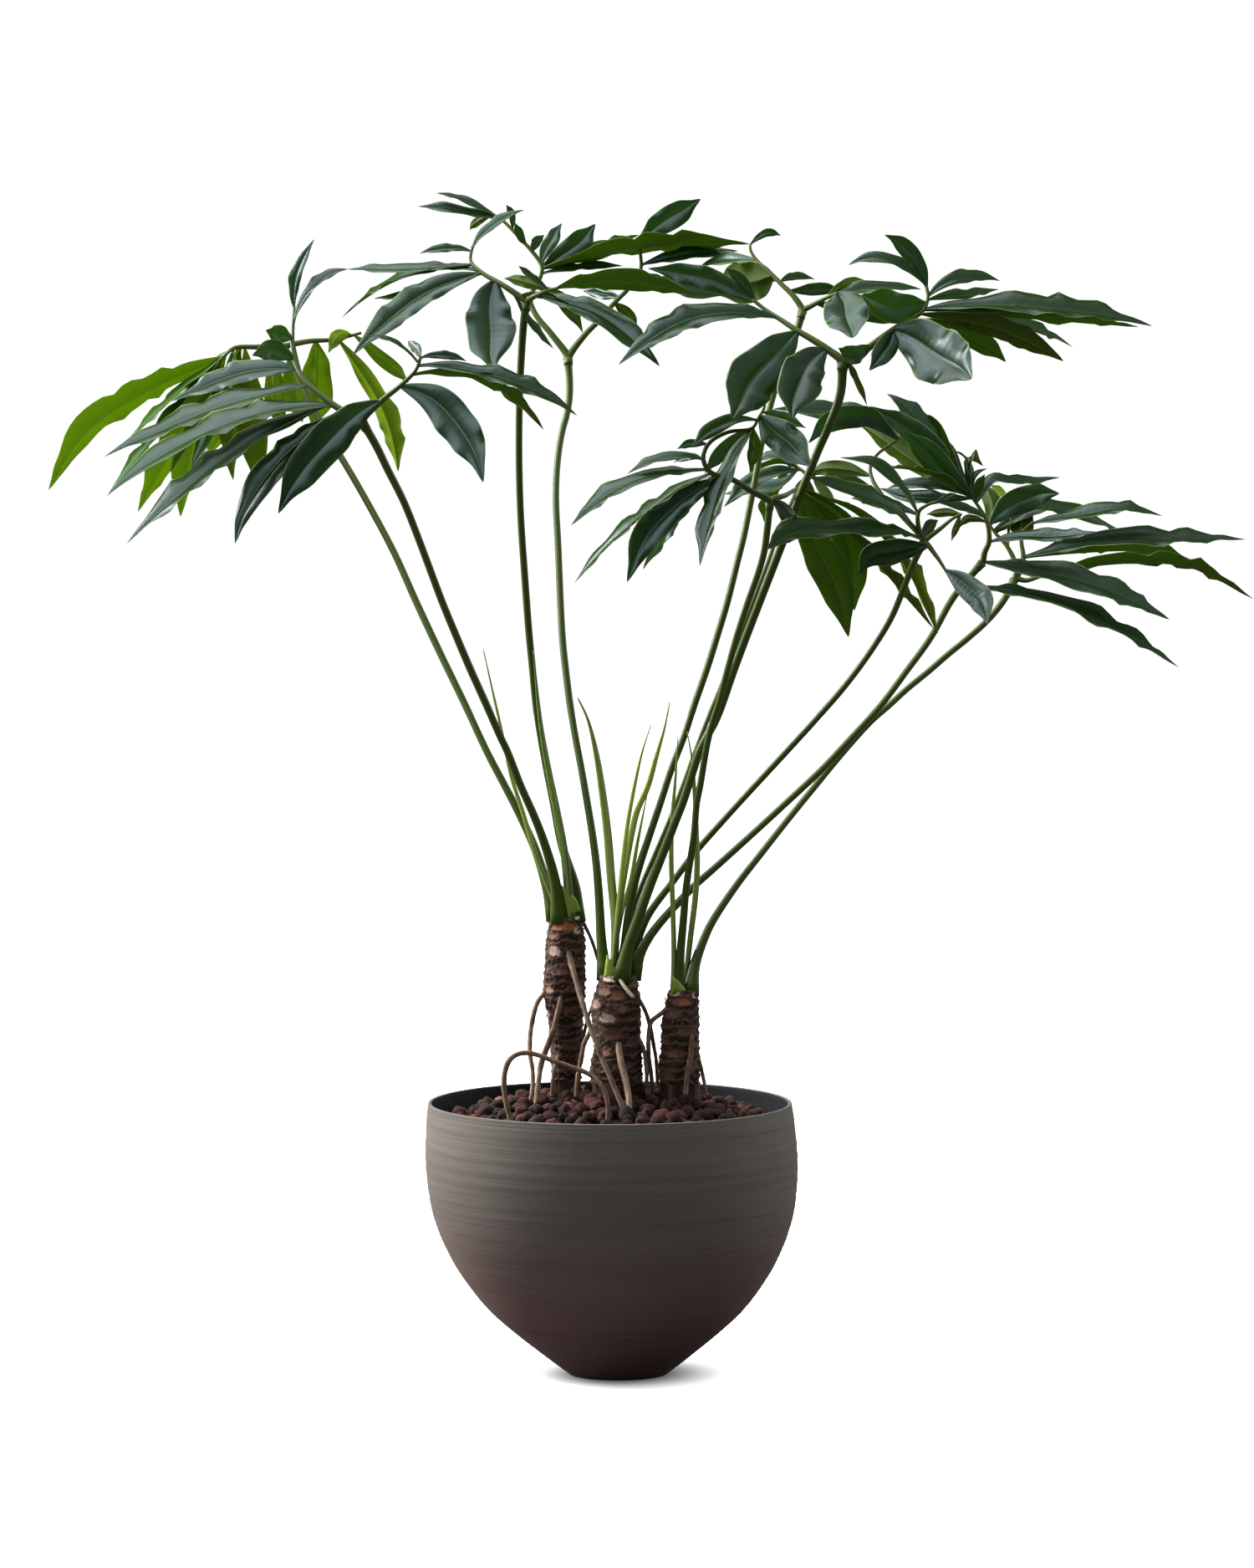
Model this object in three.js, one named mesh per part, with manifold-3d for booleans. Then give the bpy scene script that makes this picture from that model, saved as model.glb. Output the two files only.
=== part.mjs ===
// Potted tree philodendron: a thrown stoneware pot filled with lava gravel, three scarred trunks with
// aerial roots, eleven long-stalked fronds of narrow leaflets, and the young pointed spikes between them.
// Millimetres, +Z up. The origin is the centre of the pot's foot, on the surface that it stands on.
import * as THREE from 'three';
import { mergeVertices } from 'three/addons/utils/BufferGeometryUtils.js';
import Module from 'manifold-3d';

const wasm = await Module();
wasm.setup();

// Driving dimensions of the pot
const POT_HEIGHT = 219.5;
const POT_LEAN = -6.7;
const POT_SIDES = 32;
const FOOT_RADIUS = 40;
const RIM_RADIUS = 146.3;
const RIM_THICK = 2.8;
const FLOOR_THICK = 9;

// Driving dimensions of the gravel
const GRAVEL_AT_WALL = 199;
const GRAVEL_RISE = 27;
const GRAVEL_RADIUS = 139;
const STONE_COUNT = 54;
const STONE_SMALL = 10;
const STONE_LARGE = 13;
const STONE_FIELD = 130.5;

// How the pieces fit: clear air between two that touch, and round the roots and the pot's wall
const FIT_GAP = 0.35;
const LOOSE_GAP = 0.48;
const BURIED = 34;
const HOLE_RISE = 14;

// Blade of a leaflet
const BLADE_THICK = 1.5;
const BLADE_FOLD = 0.2;
const BLADE_WAVE = 0.08;
const LENGTH_PER_WIDTH = 2.9;
const SLENDERNESS = 5;
const DEEPEST_REACH = 70;
const MIDDLE_REACH = 0.45;
const BENT_REACH = [0.28, 0.62];
const BROAD_BLADE = 22;
const OUTLINE_RISE = 0.95;
const OUTLINE_FALL = 0.8;
const BLADE_STATIONS = [
  { above: BROAD_BLADE, at: [0.12, 0.3, 0.5, 0.7, 0.88] },
  { above: 16, at: [0.15, 0.38, 0.62, 0.84] },
  { above: 0, at: [0.2, 0.5, 0.8] },
];

// How the object was measured: the eye that the places below were read by, and the width of its view
const FRAME = { width: 1500, height: 1875 };
const EYE = { x: 7.1, away: 5000, z: 827 };
const PITCH = THREE.MathUtils.degToRad(4.018);
const PER_PX = 1.337e-4;
const MM_PER_PX = 0.6726;

// Which side of a leaflet faces that eye
const TOP = 1;
const UNDER = -1;

// The real place of a point seen at px, py and lying at the given depth, which is its y
function seen(px, py, depth) {
  const u = (px - FRAME.width / 2) * PER_PX;
  const v = (FRAME.height / 2 - py) * PER_PX;
  const range = (EYE.away + depth) / (Math.cos(PITCH) + v * Math.sin(PITCH));
  const z = EYE.z + range * (v * Math.cos(PITCH) - Math.sin(PITCH));
  return new THREE.Vector3(EYE.x + u * range, depth, z);
}

// A repeatable stream of random numbers from 0 to 1
function seeded(seed) {
  let state = seed;
  return () => {
    state = (state * 1664525 + 1013904223) % 4294967296;
    return state / 4294967296;
  };
}

function between(draw, low, high) {
  return low + (high - low) * draw();
}

// Value of an evenly spaced list at t from 0 to 1, on a smooth curve through the list
function along(list, t) {
  const curve = new THREE.SplineCurve(list.map((value, i) => new THREE.Vector2(i, value)));
  return curve.getPoint(t).y;
}

// Skin over a row of rings, each a list of points. A ring of one point is a tip. The quads after the upper
// ones are split the other way, so that the two faces of a thin blade are split alike
function skin(rings, upper = Infinity) {
  const points = [];
  const faces = [];
  const starts = [];
  for (const ring of rings) {
    starts.push(points.length / 3);
    for (const p of ring) points.push(p.x, p.y, p.z);
  }
  for (let i = 0; i + 1 < rings.length; i += 1) {
    const count = Math.max(rings[i].length, rings[i + 1].length);
    for (let k = 0; k < count; k += 1) {
      const a = starts[i] + (k % rings[i].length);
      const b = starts[i] + ((k + 1) % rings[i].length);
      const c = starts[i + 1] + ((k + 1) % rings[i + 1].length);
      const d = starts[i + 1] + (k % rings[i + 1].length);
      if (a !== b) faces.push(a, b, k < upper ? c : d);
      if (c !== d) faces.push(k < upper ? a : b, c, d);
    }
  }
  const last = rings.length - 1;
  for (let k = 1; k + 1 < rings[0].length; k += 1) faces.push(starts[0], starts[0] + k + 1, starts[0] + k);
  for (let k = 1; k + 1 < rings[last].length; k += 1) {
    faces.push(starts[last], starts[last] + k, starts[last] + k + 1);
  }
  const geometry = new THREE.BufferGeometry();
  geometry.setAttribute('position', new THREE.Float32BufferAttribute(points, 3));
  geometry.setIndex(faces);
  return geometry;
}

// The solid of a closed geometry, for joining and cutting
function solidOf(geometry) {
  const bare = geometry.clone();
  bare.deleteAttribute('normal');
  bare.deleteAttribute('uv');
  const merged = mergeVertices(bare, 1e-3);
  const index = merged.index.array;
  const kept = [];
  for (let i = 0; i < index.length; i += 3) {
    const [a, b, c] = [index[i], index[i + 1], index[i + 2]];
    if (a !== b && b !== c && c !== a) kept.push(a, b, c);
  }
  const vertProperties = new Float32Array(merged.attributes.position.array);
  return new wasm.Manifold(new wasm.Mesh({ numProp: 3, vertProperties, triVerts: new Uint32Array(kept) }));
}

// The geometry of a solid
function geometryOf(solid) {
  const mesh = solid.getMesh();
  const geometry = new THREE.BufferGeometry();
  const points = new Float32Array((mesh.vertProperties.length / mesh.numProp) * 3);
  for (let i = 0; i < points.length / 3; i += 1) {
    for (let k = 0; k < 3; k += 1) points[i * 3 + k] = mesh.vertProperties[i * mesh.numProp + k];
  }
  geometry.setAttribute('position', new THREE.BufferAttribute(points, 3));
  geometry.setIndex(new THREE.BufferAttribute(new Uint32Array(mesh.triVerts), 1));
  return geometry;
}

// The largest connected body of a geometry: loose scraps that a cut or join leaves are dropped
function mainBody(geometry) {
  const index = geometry.index.array;
  const owner = Array.from({ length: geometry.attributes.position.count }, (_, i) => i);
  const find = (i) => {
    let root = i;
    while (owner[root] !== root) root = owner[root];
    owner[i] = root;
    return root;
  };
  for (let i = 0; i < index.length; i += 3) {
    owner[find(index[i])] = find(index[i + 1]);
    owner[find(index[i + 1])] = find(index[i + 2]);
  }
  const bodies = new Map();
  for (let i = 0; i < index.length; i += 3) {
    const body = find(index[i]);
    if (!bodies.has(body)) bodies.set(body, []);
    bodies.get(body).push(index[i], index[i + 1], index[i + 2]);
  }
  const faces = [...bodies.values()].reduce((most, next) => (next.length > most.length ? next : most));
  geometry.setIndex(faces);
  return geometry;
}

function join(geometries) {
  return geometries.map(solidOf).reduce((whole, next) => whole.add(next));
}

// A round stalk along a curve. radii is a list of radii, evenly spaced from its foot to its end
function stalk(curve, radii, sides, steps, levelFoot = false) {
  const frames = curve.computeFrenetFrames(steps);
  const rings = [];
  for (let i = 0; i <= steps; i += 1) {
    const t = i / steps;
    const centre = curve.getPointAt(t);
    const radius = Math.max(along(radii, t), 0.3);
    const ring = [];
    for (let k = 0; k < sides; k += 1) {
      const turn = (2 * Math.PI * k) / sides;
      const point = centre.clone();
      point.addScaledVector(frames.normals[i], Math.cos(turn) * radius);
      point.addScaledVector(frames.binormals[i], Math.sin(turn) * radius);
      if (i === 0 && levelFoot) point.z = centre.z;
      ring.push(point);
    }
    rings.push(ring);
  }
  return skin(rings);
}

const object = new THREE.Group();

function addPiece(name, geometry, material) {
  const mesh = new THREE.Mesh(geometry, material);
  mesh.name = name;
  object.add(mesh);
}

// Colours and finishes
const stoneware = new THREE.MeshStandardMaterial({ color: 0x5a4d4a, roughness: 0.85, metalness: 0 });
const lava = new THREE.MeshStandardMaterial({ color: 0x5b3229, roughness: 0.95, metalness: 0 });
const bark = new THREE.MeshStandardMaterial({ color: 0x5e4234, roughness: 0.9, metalness: 0 });
const rootSkin = new THREE.MeshStandardMaterial({ color: 0x7a5f4d, roughness: 0.85, metalness: 0 });
const leafGreen = new THREE.MeshStandardMaterial({ color: 0x24401f, roughness: 0.35, metalness: 0 });
const spikeGreen = new THREE.MeshStandardMaterial({ color: 0x6d8a2c, roughness: 0.45, metalness: 0 });

// The pot: a tapered bowl on a small flat foot, turned in one piece, that leans a little to the left
const POT_OUTLINE = [
  [41.6, 1.2], [58.6, 14.1], [83.4, 34.2], [105, 54.5], [124.9, 81.4], [138.5, 108.3],
  [146.6, 135.2], [150, 169], [148.4, 203], [RIM_RADIUS, POT_HEIGHT - 0.6],
];

function leaning(geometry) {
  const place = geometry.attributes.position;
  for (let i = 0; i < place.count; i += 1) {
    place.setX(i, place.getX(i) + (POT_LEAN * place.getZ(i)) / POT_HEIGHT);
  }
  return geometry;
}

// LatheGeometry turns about Y, so the turned shape is stood up on Z
function turned(profile) {
  const points = profile.map(([radius, height]) => new THREE.Vector2(radius, height));
  return new THREE.LatheGeometry(points, POT_SIDES).rotateX(Math.PI / 2);
}

// Inner radius of the pot's wall at a height, between the floor and the rim
const INNER_OUTLINE = [
  [RIM_RADIUS - RIM_THICK, POT_HEIGHT - 0.6], [143.6, 175], [138, 128], [111.8, 75],
  [58, 26], [34, FLOOR_THICK + 0.5],
];

function innerRadius(height) {
  for (let i = 0; i + 1 < INNER_OUTLINE.length; i += 1) {
    const [above, top] = INNER_OUTLINE[i];
    const [below, bottom] = INNER_OUTLINE[i + 1];
    if (height <= top && height >= bottom) {
      return below + ((above - below) * (height - bottom)) / (top - bottom);
    }
  }
  return INNER_OUTLINE[0][0];
}

function potGeometry() {
  const lip = [[RIM_RADIUS - 0.7, POT_HEIGHT], [RIM_RADIUS - RIM_THICK + 0.7, POT_HEIGHT]];
  const outside = [[0, 0], [FOOT_RADIUS, 0], ...POT_OUTLINE];
  return leaning(turned([...outside, ...lip, ...INNER_OUTLINE, [0, FLOOR_THICK]]));
}

addPiece('pot', geometryOf(solidOf(potGeometry())), stoneware);

// The trunks: seen edges at their heights, how deep each stands, and the level of its cut top.
// Each edge is [left, right, height], in the picture's own units
const TRUNKS = {
  trunk_left: {
    depth: 10,
    edges: [[659, 694, 1095], [654, 699, 1120], [652, 700, 1150], [650, 700, 1185], [655, 698, 1215],
      [659, 696, 1255], [660, 695, 1292]],
    roots: [
      { name: 'left prop', at: [[655, 1184], [643, 1198], [638, 1215], [634, 1240], [634, 1260], [637, 1280],
        [637, 1300], [634, 1325]], deep: [8, 2, -4, -12, -22], radius: 2 },
      { name: 'front prop', at: [[672, 1172], [670, 1200], [664, 1225], [655, 1250], [648, 1270],
        [644, 1295], [641, 1322]], deep: [-1, -8, -14, -20, -30], radius: 2.5 },
      { name: 'long prop', at: [[678, 1130], [684, 1155], [690, 1175], [697, 1200], [703, 1220], [712, 1245],
        [722, 1270], [735, 1300], [748, 1332]], deep: [-1, -22, -40, -50, -60], radius: 2.3 },
      { name: 'dark shoot', at: [[696, 1100], [706, 1120], [713, 1140], [718, 1158], [716, 1185],
        [704, 1215], [696, 1250], [690, 1300]], deep: [10, 14, 18, 16, 12], radius: 1.4 },
      { name: 'hidden prop', at: [[670, 1258], [663, 1280], [660, 1312]], deep: [3, -8, -16], radius: 1.8 },
    ],
  },
  trunk_middle: {
    depth: -18,
    edges: [[718, 760, 1165], [714, 763, 1180], [707, 766, 1205], [710, 766, 1240], [710, 767, 1258],
      [706, 768, 1280], [708, 768, 1298]],
    roots: [
      { name: 'front prop', at: [[739, 1240], [742, 1265], [748, 1290], [752, 1312], [754, 1336]],
        deep: [-32, -42, -52, -62, -72], radius: 2.7 },
      { name: 'left prop', at: [[708, 1230], [699, 1247], [696, 1262], [691, 1290], [689, 1312]],
        deep: [-20, -24, -27, -30, -34], radius: 2 },
      { name: 'right prop', at: [[760, 1188], [771, 1207], [777, 1225], [781, 1245], [785, 1270],
        [787, 1305]],
        deep: [-14, -8, -2, 2, 6], radius: 1.7 },
      { name: 'right foot', at: [[762, 1238], [770, 1255], [773, 1275], [774, 1308]],
        deep: [-24, -27, -30, -33], radius: 1.8 },
    ],
  },
  trunk_right: {
    depth: -15,
    edges: [[800, 833, 1184], [796, 835, 1200], [792, 836, 1220], [791, 836, 1250], [788, 837, 1275],
      [789, 836, 1296]],
    roots: [
      { name: 'crossing root', at: [[797, 1208], [788, 1214], [779, 1222], [776, 1238], [776, 1262],
        [779, 1285], [781, 1312]], deep: [-17, -19, -21, -23, -25], radius: 1.9 },
      { name: 'front prop', at: [[828, 1232], [826, 1260], [822, 1285], [820, 1310]],
        deep: [-26, -31, -35, -39], radius: 2.2 },
      { name: 'right prop', at: [[833, 1255], [838, 1275], [842, 1292], [845, 1310]],
        deep: [-16, -19, -22, -26], radius: 1.7 },
    ],
  },
};

const TRUNK_SIDES = 12;
const TRUNK_STEP = 8.2;
const SCARS_ROUND = 3;
const SCAR_RELIEF = 0.036;
const RING_RELIEF = 0.025;
const ROOT_SIDES = 5;
const ROOT_STEPS = 6;
const ROOT_TAPER = [1, 1, 0.85];

// Centre, radius and height of a trunk at t, from its foot in the gravel at 0 to its cut top at 1
function trunkAt(trunk, t) {
  const fromFoot = [...trunk.edges].reverse();
  const left = along(fromFoot.map((edge) => edge[0]), t);
  const right = along(fromFoot.map((edge) => edge[1]), t);
  const height = along(fromFoot.map((edge) => edge[2]), t);
  const centre = seen((left + right) / 2, height, trunk.depth);
  return { centre, radius: ((right - left) / 2) * MM_PER_PX };
}

// Leaf scars ring the trunk as a staggered net of low bosses between narrow grooves
function trunkGeometry(trunk) {
  const foot = trunkAt(trunk, 0);
  const top = trunkAt(trunk, 1);
  const steps = Math.round((top.centre.z - foot.centre.z) / TRUNK_STEP);
  const rings = [];
  for (let i = -1; i <= steps; i += 1) {
    const t = Math.max(i, 0) / steps;
    const { centre, radius } = trunkAt(trunk, t);
    const sunk = i < 0 ? BURIED : 0;
    const plain = i <= 0 || i === steps;
    const ring = [];
    for (let k = 0; k < TRUNK_SIDES; k += 1) {
      const turn = (2 * Math.PI * k) / TRUNK_SIDES;
      const boss = SCAR_RELIEF * Math.cos(SCARS_ROUND * turn + Math.PI * i);
      const ridge = RING_RELIEF * (i % 2 === 0 ? 1 : -1);
      const reach = radius * (1 + (plain ? 0 : boss + ridge));
      ring.push(new THREE.Vector3(
        centre.x + Math.cos(turn) * reach,
        centre.y + Math.sin(turn) * reach,
        (i < 0 ? foot.centre.z : centre.z) - sunk,
      ));
    }
    rings.push(ring);
  }
  return skin(rings);
}

// The plain hole that a trunk stands in, a little wide so that its flat sides clear the trunk's corners
function trunkHole(trunk) {
  const foot = trunkAt(trunk, 0);
  const radius = (foot.radius + FIT_GAP) / Math.cos(Math.PI / (TRUNK_SIDES * 2));
  const depth = BURIED + FIT_GAP;
  const height = depth + HOLE_RISE;
  const hole = new THREE.CylinderGeometry(radius, radius, height, TRUNK_SIDES * 2);
  hole.rotateX(Math.PI / 2);
  hole.translate(foot.centre.x, foot.centre.y, foot.centre.z - depth + height / 2);
  return hole;
}

function rootCurve(root) {
  const count = root.at.length - 1;
  return new THREE.CatmullRomCurve3(root.at.map(([px, py], i) => seen(px, py, along(root.deep, i / count))));
}

function rootGeometry(root, extra = 0) {
  const radii = ROOT_TAPER.map((share) => root.radius * share + extra);
  return stalk(rootCurve(root), radii, ROOT_SIDES, ROOT_STEPS);
}

// The looped root rises out of the gravel and dives back into it in front of the middle trunk
const LOOP_ROOT = {
  at: [[615, 1352], [607, 1325], [603, 1302], [604, 1282], [609, 1268], [618, 1261], [630, 1259],
    [645, 1262], [660, 1268], [680, 1275], [700, 1282], [713, 1291], [722, 1302], [727, 1322],
    [726, 1356]],
  deep: [-86, -84, -80, -84, -94],
  radius: 2.1,
};
const LOOP_STEPS = 17;

function loopGeometry(extra = 0) {
  const radius = LOOP_ROOT.radius + extra;
  return stalk(rootCurve(LOOP_ROOT), [radius, radius, radius], ROOT_SIDES, LOOP_STEPS);
}

// The level just above a trunk's cut top, where stalks and spikes stand
function levelOn(name) {
  return trunkAt(TRUNKS[name], 1).centre.z + FIT_GAP;
}

for (const [name, trunk] of Object.entries(TRUNKS)) {
  const whole = join([trunkGeometry(trunk), ...trunk.roots.map((root) => rootGeometry(root))]);
  addPiece(name, mainBody(geometryOf(whole)), bark);
}
addPiece('looped_root', geometryOf(solidOf(loopGeometry())), rootSkin);

// The gravel: a mound that fills the pot, with the upper stones standing out of it
function moundHeight(x, y) {
  const reach = Math.min(Math.hypot(x, y) / GRAVEL_RADIUS, 1);
  return GRAVEL_AT_WALL + GRAVEL_RISE * (1 - reach * reach);
}

function moundGeometry() {
  const top = [];
  for (const radius of [0, 45, 90]) top.push([radius, moundHeight(radius, 0)]);
  const wall = [GRAVEL_AT_WALL, 175, 128, 75, 26, FLOOR_THICK + 1.5];
  const side = wall.map((height) => [innerRadius(height) - LOOSE_GAP, height]);
  const profile = [...top, ...side, [0, FLOOR_THICK + FIT_GAP]].reverse();
  return leaning(turned(profile));
}

function stoneGeometry(radius, draw) {
  const stone = new THREE.OctahedronGeometry(radius, 0);
  stone.scale(between(draw, 0.85, 1.25), between(draw, 0.8, 1.15), between(draw, 0.75, 1));
  stone.rotateX(draw() * Math.PI);
  stone.rotateZ(draw() * Math.PI);
  return stone;
}

function gravelSolid() {
  const draw = seeded(41);
  const golden = Math.PI * (3 - Math.sqrt(5));
  const stones = [];
  for (let i = 0; i < STONE_COUNT; i += 1) {
    const size = between(draw, STONE_SMALL, STONE_LARGE);
    const reach = Math.sqrt((i + 0.5) / STONE_COUNT) * STONE_FIELD;
    const turn = i * golden + between(draw, 0, 0.25);
    const x = reach * Math.cos(turn);
    const y = reach * Math.sin(turn);
    const stone = stoneGeometry(size, draw);
    const shift = (POT_LEAN * GRAVEL_AT_WALL) / POT_HEIGHT;
    stone.translate(x + shift, y, moundHeight(x, y) + between(draw, -1.75, 0.75));
    stones.push(solidOf(stone));
  }
  let heap = stones.reduce((whole, next) => whole.add(next), solidOf(moundGeometry()));
  for (const trunk of Object.values(TRUNKS)) {
    heap = heap.subtract(solidOf(trunkHole(trunk)));
    for (const root of trunk.roots) heap = heap.subtract(solidOf(rootGeometry(root, LOOSE_GAP)));
  }
  return heap.subtract(solidOf(loopGeometry(LOOSE_GAP)));
}

addPiece('gravel', mainBody(geometryOf(gravelSolid())), lava);

// A frond: a long round stalk, ribs that fork from its knuckle, and narrow leaflets along the ribs.
// stem and ribs are lists of seen points. deep is a list of depths, evenly spaced along the stalk. A rib's
// list is counted from the knuckle
const STEM_SIDES = 5;
const STEM_STEPS = 9;
const STEM_TAPER = [1.12, 1, 1, 0.95, 0.95, 1.05];
const RIB_SIDES = 4;
const RIB_TAPER = [0.75, 0.6, 0.4];
const KNUCKLE = 6;
const KNUCKLE_STEP = 1.5;
const SPACING_STEPS = 12;

function leaflet(base, via, tip, width, side, reach) {
  return { base, via, tip, width, side, reach };
}

// Real places of a row of seen points, whose depths are spread along it by length
function traced(points, deep, on) {
  const spacing = new THREE.CatmullRomCurve3(points.map(([px, py]) => new THREE.Vector3(px, py, 0)));
  const lengths = spacing.getLengths((points.length - 1) * SPACING_STEPS);
  const whole = lengths[lengths.length - 1];
  const places = points.map(([px, py], i) => seen(px, py, along(deep, lengths[i * SPACING_STEPS] / whole)));
  if (on) places[0].z = levelOn(on);
  return places;
}

// Nearest place to a seen point on the straight stretches between the rings of a frond's stalk and ribs
function nearest(lines, [px, py]) {
  const shares = [0, 0.2, 0.4, 0.6, 0.8];
  let best = null;
  for (const centres of lines) {
    for (let i = 0; i + 1 < centres.length; i += 1) {
      for (const share of shares) {
        const point = centres[i].clone().lerp(centres[i + 1], share);
        const gap = seen(px, py, point.y).distanceTo(point);
        if (!best || gap < best.gap) best = { gap, point };
      }
    }
  }
  return best.point;
}

// Half-width of a blade at t, as a share of its greatest: narrow at the stalk, drawn out to a long tip
function bladeShape(t) {
  const widest = OUTLINE_RISE / (OUTLINE_RISE + OUTLINE_FALL);
  return (t / widest) ** OUTLINE_RISE * ((1 - t) / (1 - widest)) ** OUTLINE_FALL;
}

// Spine of a leaflet, from the stalk to the tip: an arc through one seen place, or a double bend through two
function spineOf(base, spec, reach) {
  const tip = seen(spec.tip[0], spec.tip[1], base.y + reach);
  if (!Array.isArray(spec.via[0])) {
    const middle = seen(spec.via[0], spec.via[1], base.y + reach * MIDDLE_REACH);
    const control = middle.multiplyScalar(2).addScaledVector(base, -0.5).addScaledVector(tip, -0.5);
    return new THREE.QuadraticBezierCurve3(base, control, tip);
  }
  const bends = spec.via.map(([px, py], i) => seen(px, py, base.y + reach * BENT_REACH[i]));
  return new THREE.CatmullRomCurve3([base, ...bends, tip]);
}

// Way that the upper face of a blade points, so that it shows the given share of its width to the eye. side
// says which face the eye sees, and the upper face points up rather than down
function facingOf(chord, shown, side) {
  const ahead = chord.normalize();
  const level = new THREE.Vector3(0, 1, 0).cross(ahead).normalize();
  const away = ahead.cross(level);
  const open = away.y * side > 0 ? -shown : shown;
  const turned = Math.sqrt(1 - shown * shown) * (level.z < 0 ? -1 : 1);
  return away.multiplyScalar(open).addScaledVector(level, turned);
}

// A leaflet. Its tip reaches towards the eye or away from it where the leaflet looks shorter than its kind
// is, and it leans to look as wide as seen. A broad one is folded along its middle, and its spine is sunk
// below the fold's edges
function bladeGeometry(lines, spec, phase) {
  const base = nearest(lines, spec.base);
  const flat = seen(spec.tip[0], spec.tip[1], base.y);
  const span = base.distanceTo(flat);
  const broad = spec.width * MM_PER_PX;
  const length = Math.max(span, LENGTH_PER_WIDTH * broad);
  const ownReach = Math.min(Math.sqrt(length * length - span * span), DEEPEST_REACH);
  const reach = spec.reach === undefined ? -spec.side * ownReach : spec.reach;
  const spine = spineOf(base, spec, reach);
  const natural = Math.max(broad, spine.getLength() / SLENDERNESS);
  const facing = facingOf(spine.getPoint(1).sub(base), Math.min(broad / natural, 1), spec.side);
  const stations = BLADE_STATIONS.find((row) => natural > row.above).at;
  const folded = natural > BROAD_BLADE;
  const rings = [[base.clone()]];
  stations.forEach((t, i) => {
    const centre = spine.getPointAt(t);
    const forward = spine.getTangentAt(t);
    const normal = facing.clone().addScaledVector(forward, -facing.dot(forward)).normalize();
    const across = normal.clone().cross(forward).normalize();
    const half = (natural / 2) * bladeShape(t);
    const wave = BLADE_WAVE * half * (i % 2 === 0 ? 1 : -1);
    const sunk = folded ? half * BLADE_FOLD : 0;
    const twisted = folded ? wave * phase : -wave;
    const left = centre.clone().addScaledVector(across, half).addScaledVector(normal, twisted);
    const right = centre.clone().addScaledVector(across, -half).addScaledVector(normal, -wave);
    const crown = centre.clone().addScaledVector(normal, BLADE_THICK / 2 - sunk);
    const under = folded ? sunk + BLADE_THICK / 2 : wave + BLADE_THICK;
    const keel = centre.clone().addScaledVector(normal, -under);
    rings.push(folded ? [left, crown, right, keel] : [left, right, keel]);
  });
  rings.push([spine.getPoint(1)]);
  return skin(rings, folded ? 2 : 1);
}

function frondGeometry(frond) {
  const stemCurve = new THREE.CatmullRomCurve3(traced(frond.stem, frond.deep, frond.on));
  const { foot, shaft } = frond.radius;
  const radii = [foot, ...STEM_TAPER.map((share) => share * shaft)];
  const endDepth = frond.deep[frond.deep.length - 1];
  const pieces = [stalk(stemCurve, radii, STEM_SIDES, STEM_STEPS, true)];
  const lines = [stemCurve.getSpacedPoints(STEM_STEPS)];
  frond.ribs.forEach((rib, number) => {
    const sunk = KNUCKLE + number * KNUCKLE_STEP;
    const knuckle = stemCurve.getPointAt(1 - sunk / stemCurve.getLength());
    const deep = rib.deep.map((depth) => depth + endDepth);
    const curve = new THREE.CatmullRomCurve3([knuckle, ...traced(rib.at, deep)]);
    const steps = rib.at.length;
    pieces.push(stalk(curve, RIB_TAPER.map((share) => share * shaft), RIB_SIDES, steps));
    lines.push(curve.getSpacedPoints(steps));
  });
  const draw = seeded(frond.stem[0][0] * 7 + frond.stem[0][1]);
  for (const spec of frond.leaflets) pieces.push(bladeGeometry(lines, spec, draw() > 0.5 ? 1 : -1));
  return mainBody(geometryOf(join(pieces)));
}

const FRONDS = {};

// Far left, behind: its leaflets hang with the light behind them
FRONDS.frond_01 = {
  on: 'trunk_left',
  stem: [[662, 1094], [654, 1060], [640, 1015], [622, 975], [604, 940], [583, 900], [555, 840],
    [526, 780], [498, 720], [471, 660], [439, 600], [416, 560], [396, 527], [378, 495], [362, 462],
    [347, 430], [335, 416]],
  deep: [17, 40, 85, 135, 180],
  radius: { foot: 4.1, shaft: 2.9 },
  ribs: [
    { at: [[335, 416], [305, 415], [280, 416], [270, 424], [262, 432]], deep: [0, -15, -35] },
    { at: [[335, 416], [345, 413], [370, 408], [400, 406], [425, 400], [432, 398]], deep: [0, 25, 45] },
  ],
  leaflets: [
    leaflet([265, 422], [[187, 458], [96, 520]], [58, 586], 32, UNDER, 20),
    leaflet([268, 423], [205, 474], [152, 528], 10, TOP, -40),
    leaflet([275, 420], [240, 445], [200, 480], 12, TOP, 40),
    leaflet([262, 430], [195, 505], [130, 590], 16, TOP, -30),
    leaflet([265, 430], [212, 518], [165, 612], 32, UNDER, 45),
    leaflet([270, 424], [232, 520], [216, 618], 35, UNDER, 70),
    leaflet([280, 418], [258, 490], [228, 560], 24, TOP, -30),
    leaflet([285, 418], [275, 485], [245, 550], 30, UNDER, 55),
    leaflet([288, 417], [277, 500], [279, 574], 22, UNDER, 30),
    leaflet([293, 417], [303, 505], [304, 575], 36, UNDER, 15),
    leaflet([330, 416], [328, 470], [343, 512], 26, UNDER),
    leaflet([352, 412], [352, 465], [362, 505], 28, UNDER, 40),
    leaflet([377, 410], [380, 460], [374, 512], 40, UNDER),
    leaflet([403, 406], [459, 488], [476, 564], 27, UNDER),
    leaflet([425, 402], [459, 430], [489, 458], 18, UNDER),
    leaflet([420, 400], [405, 402], [393, 422], 17, UNDER, -20),
  ],
};

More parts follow.
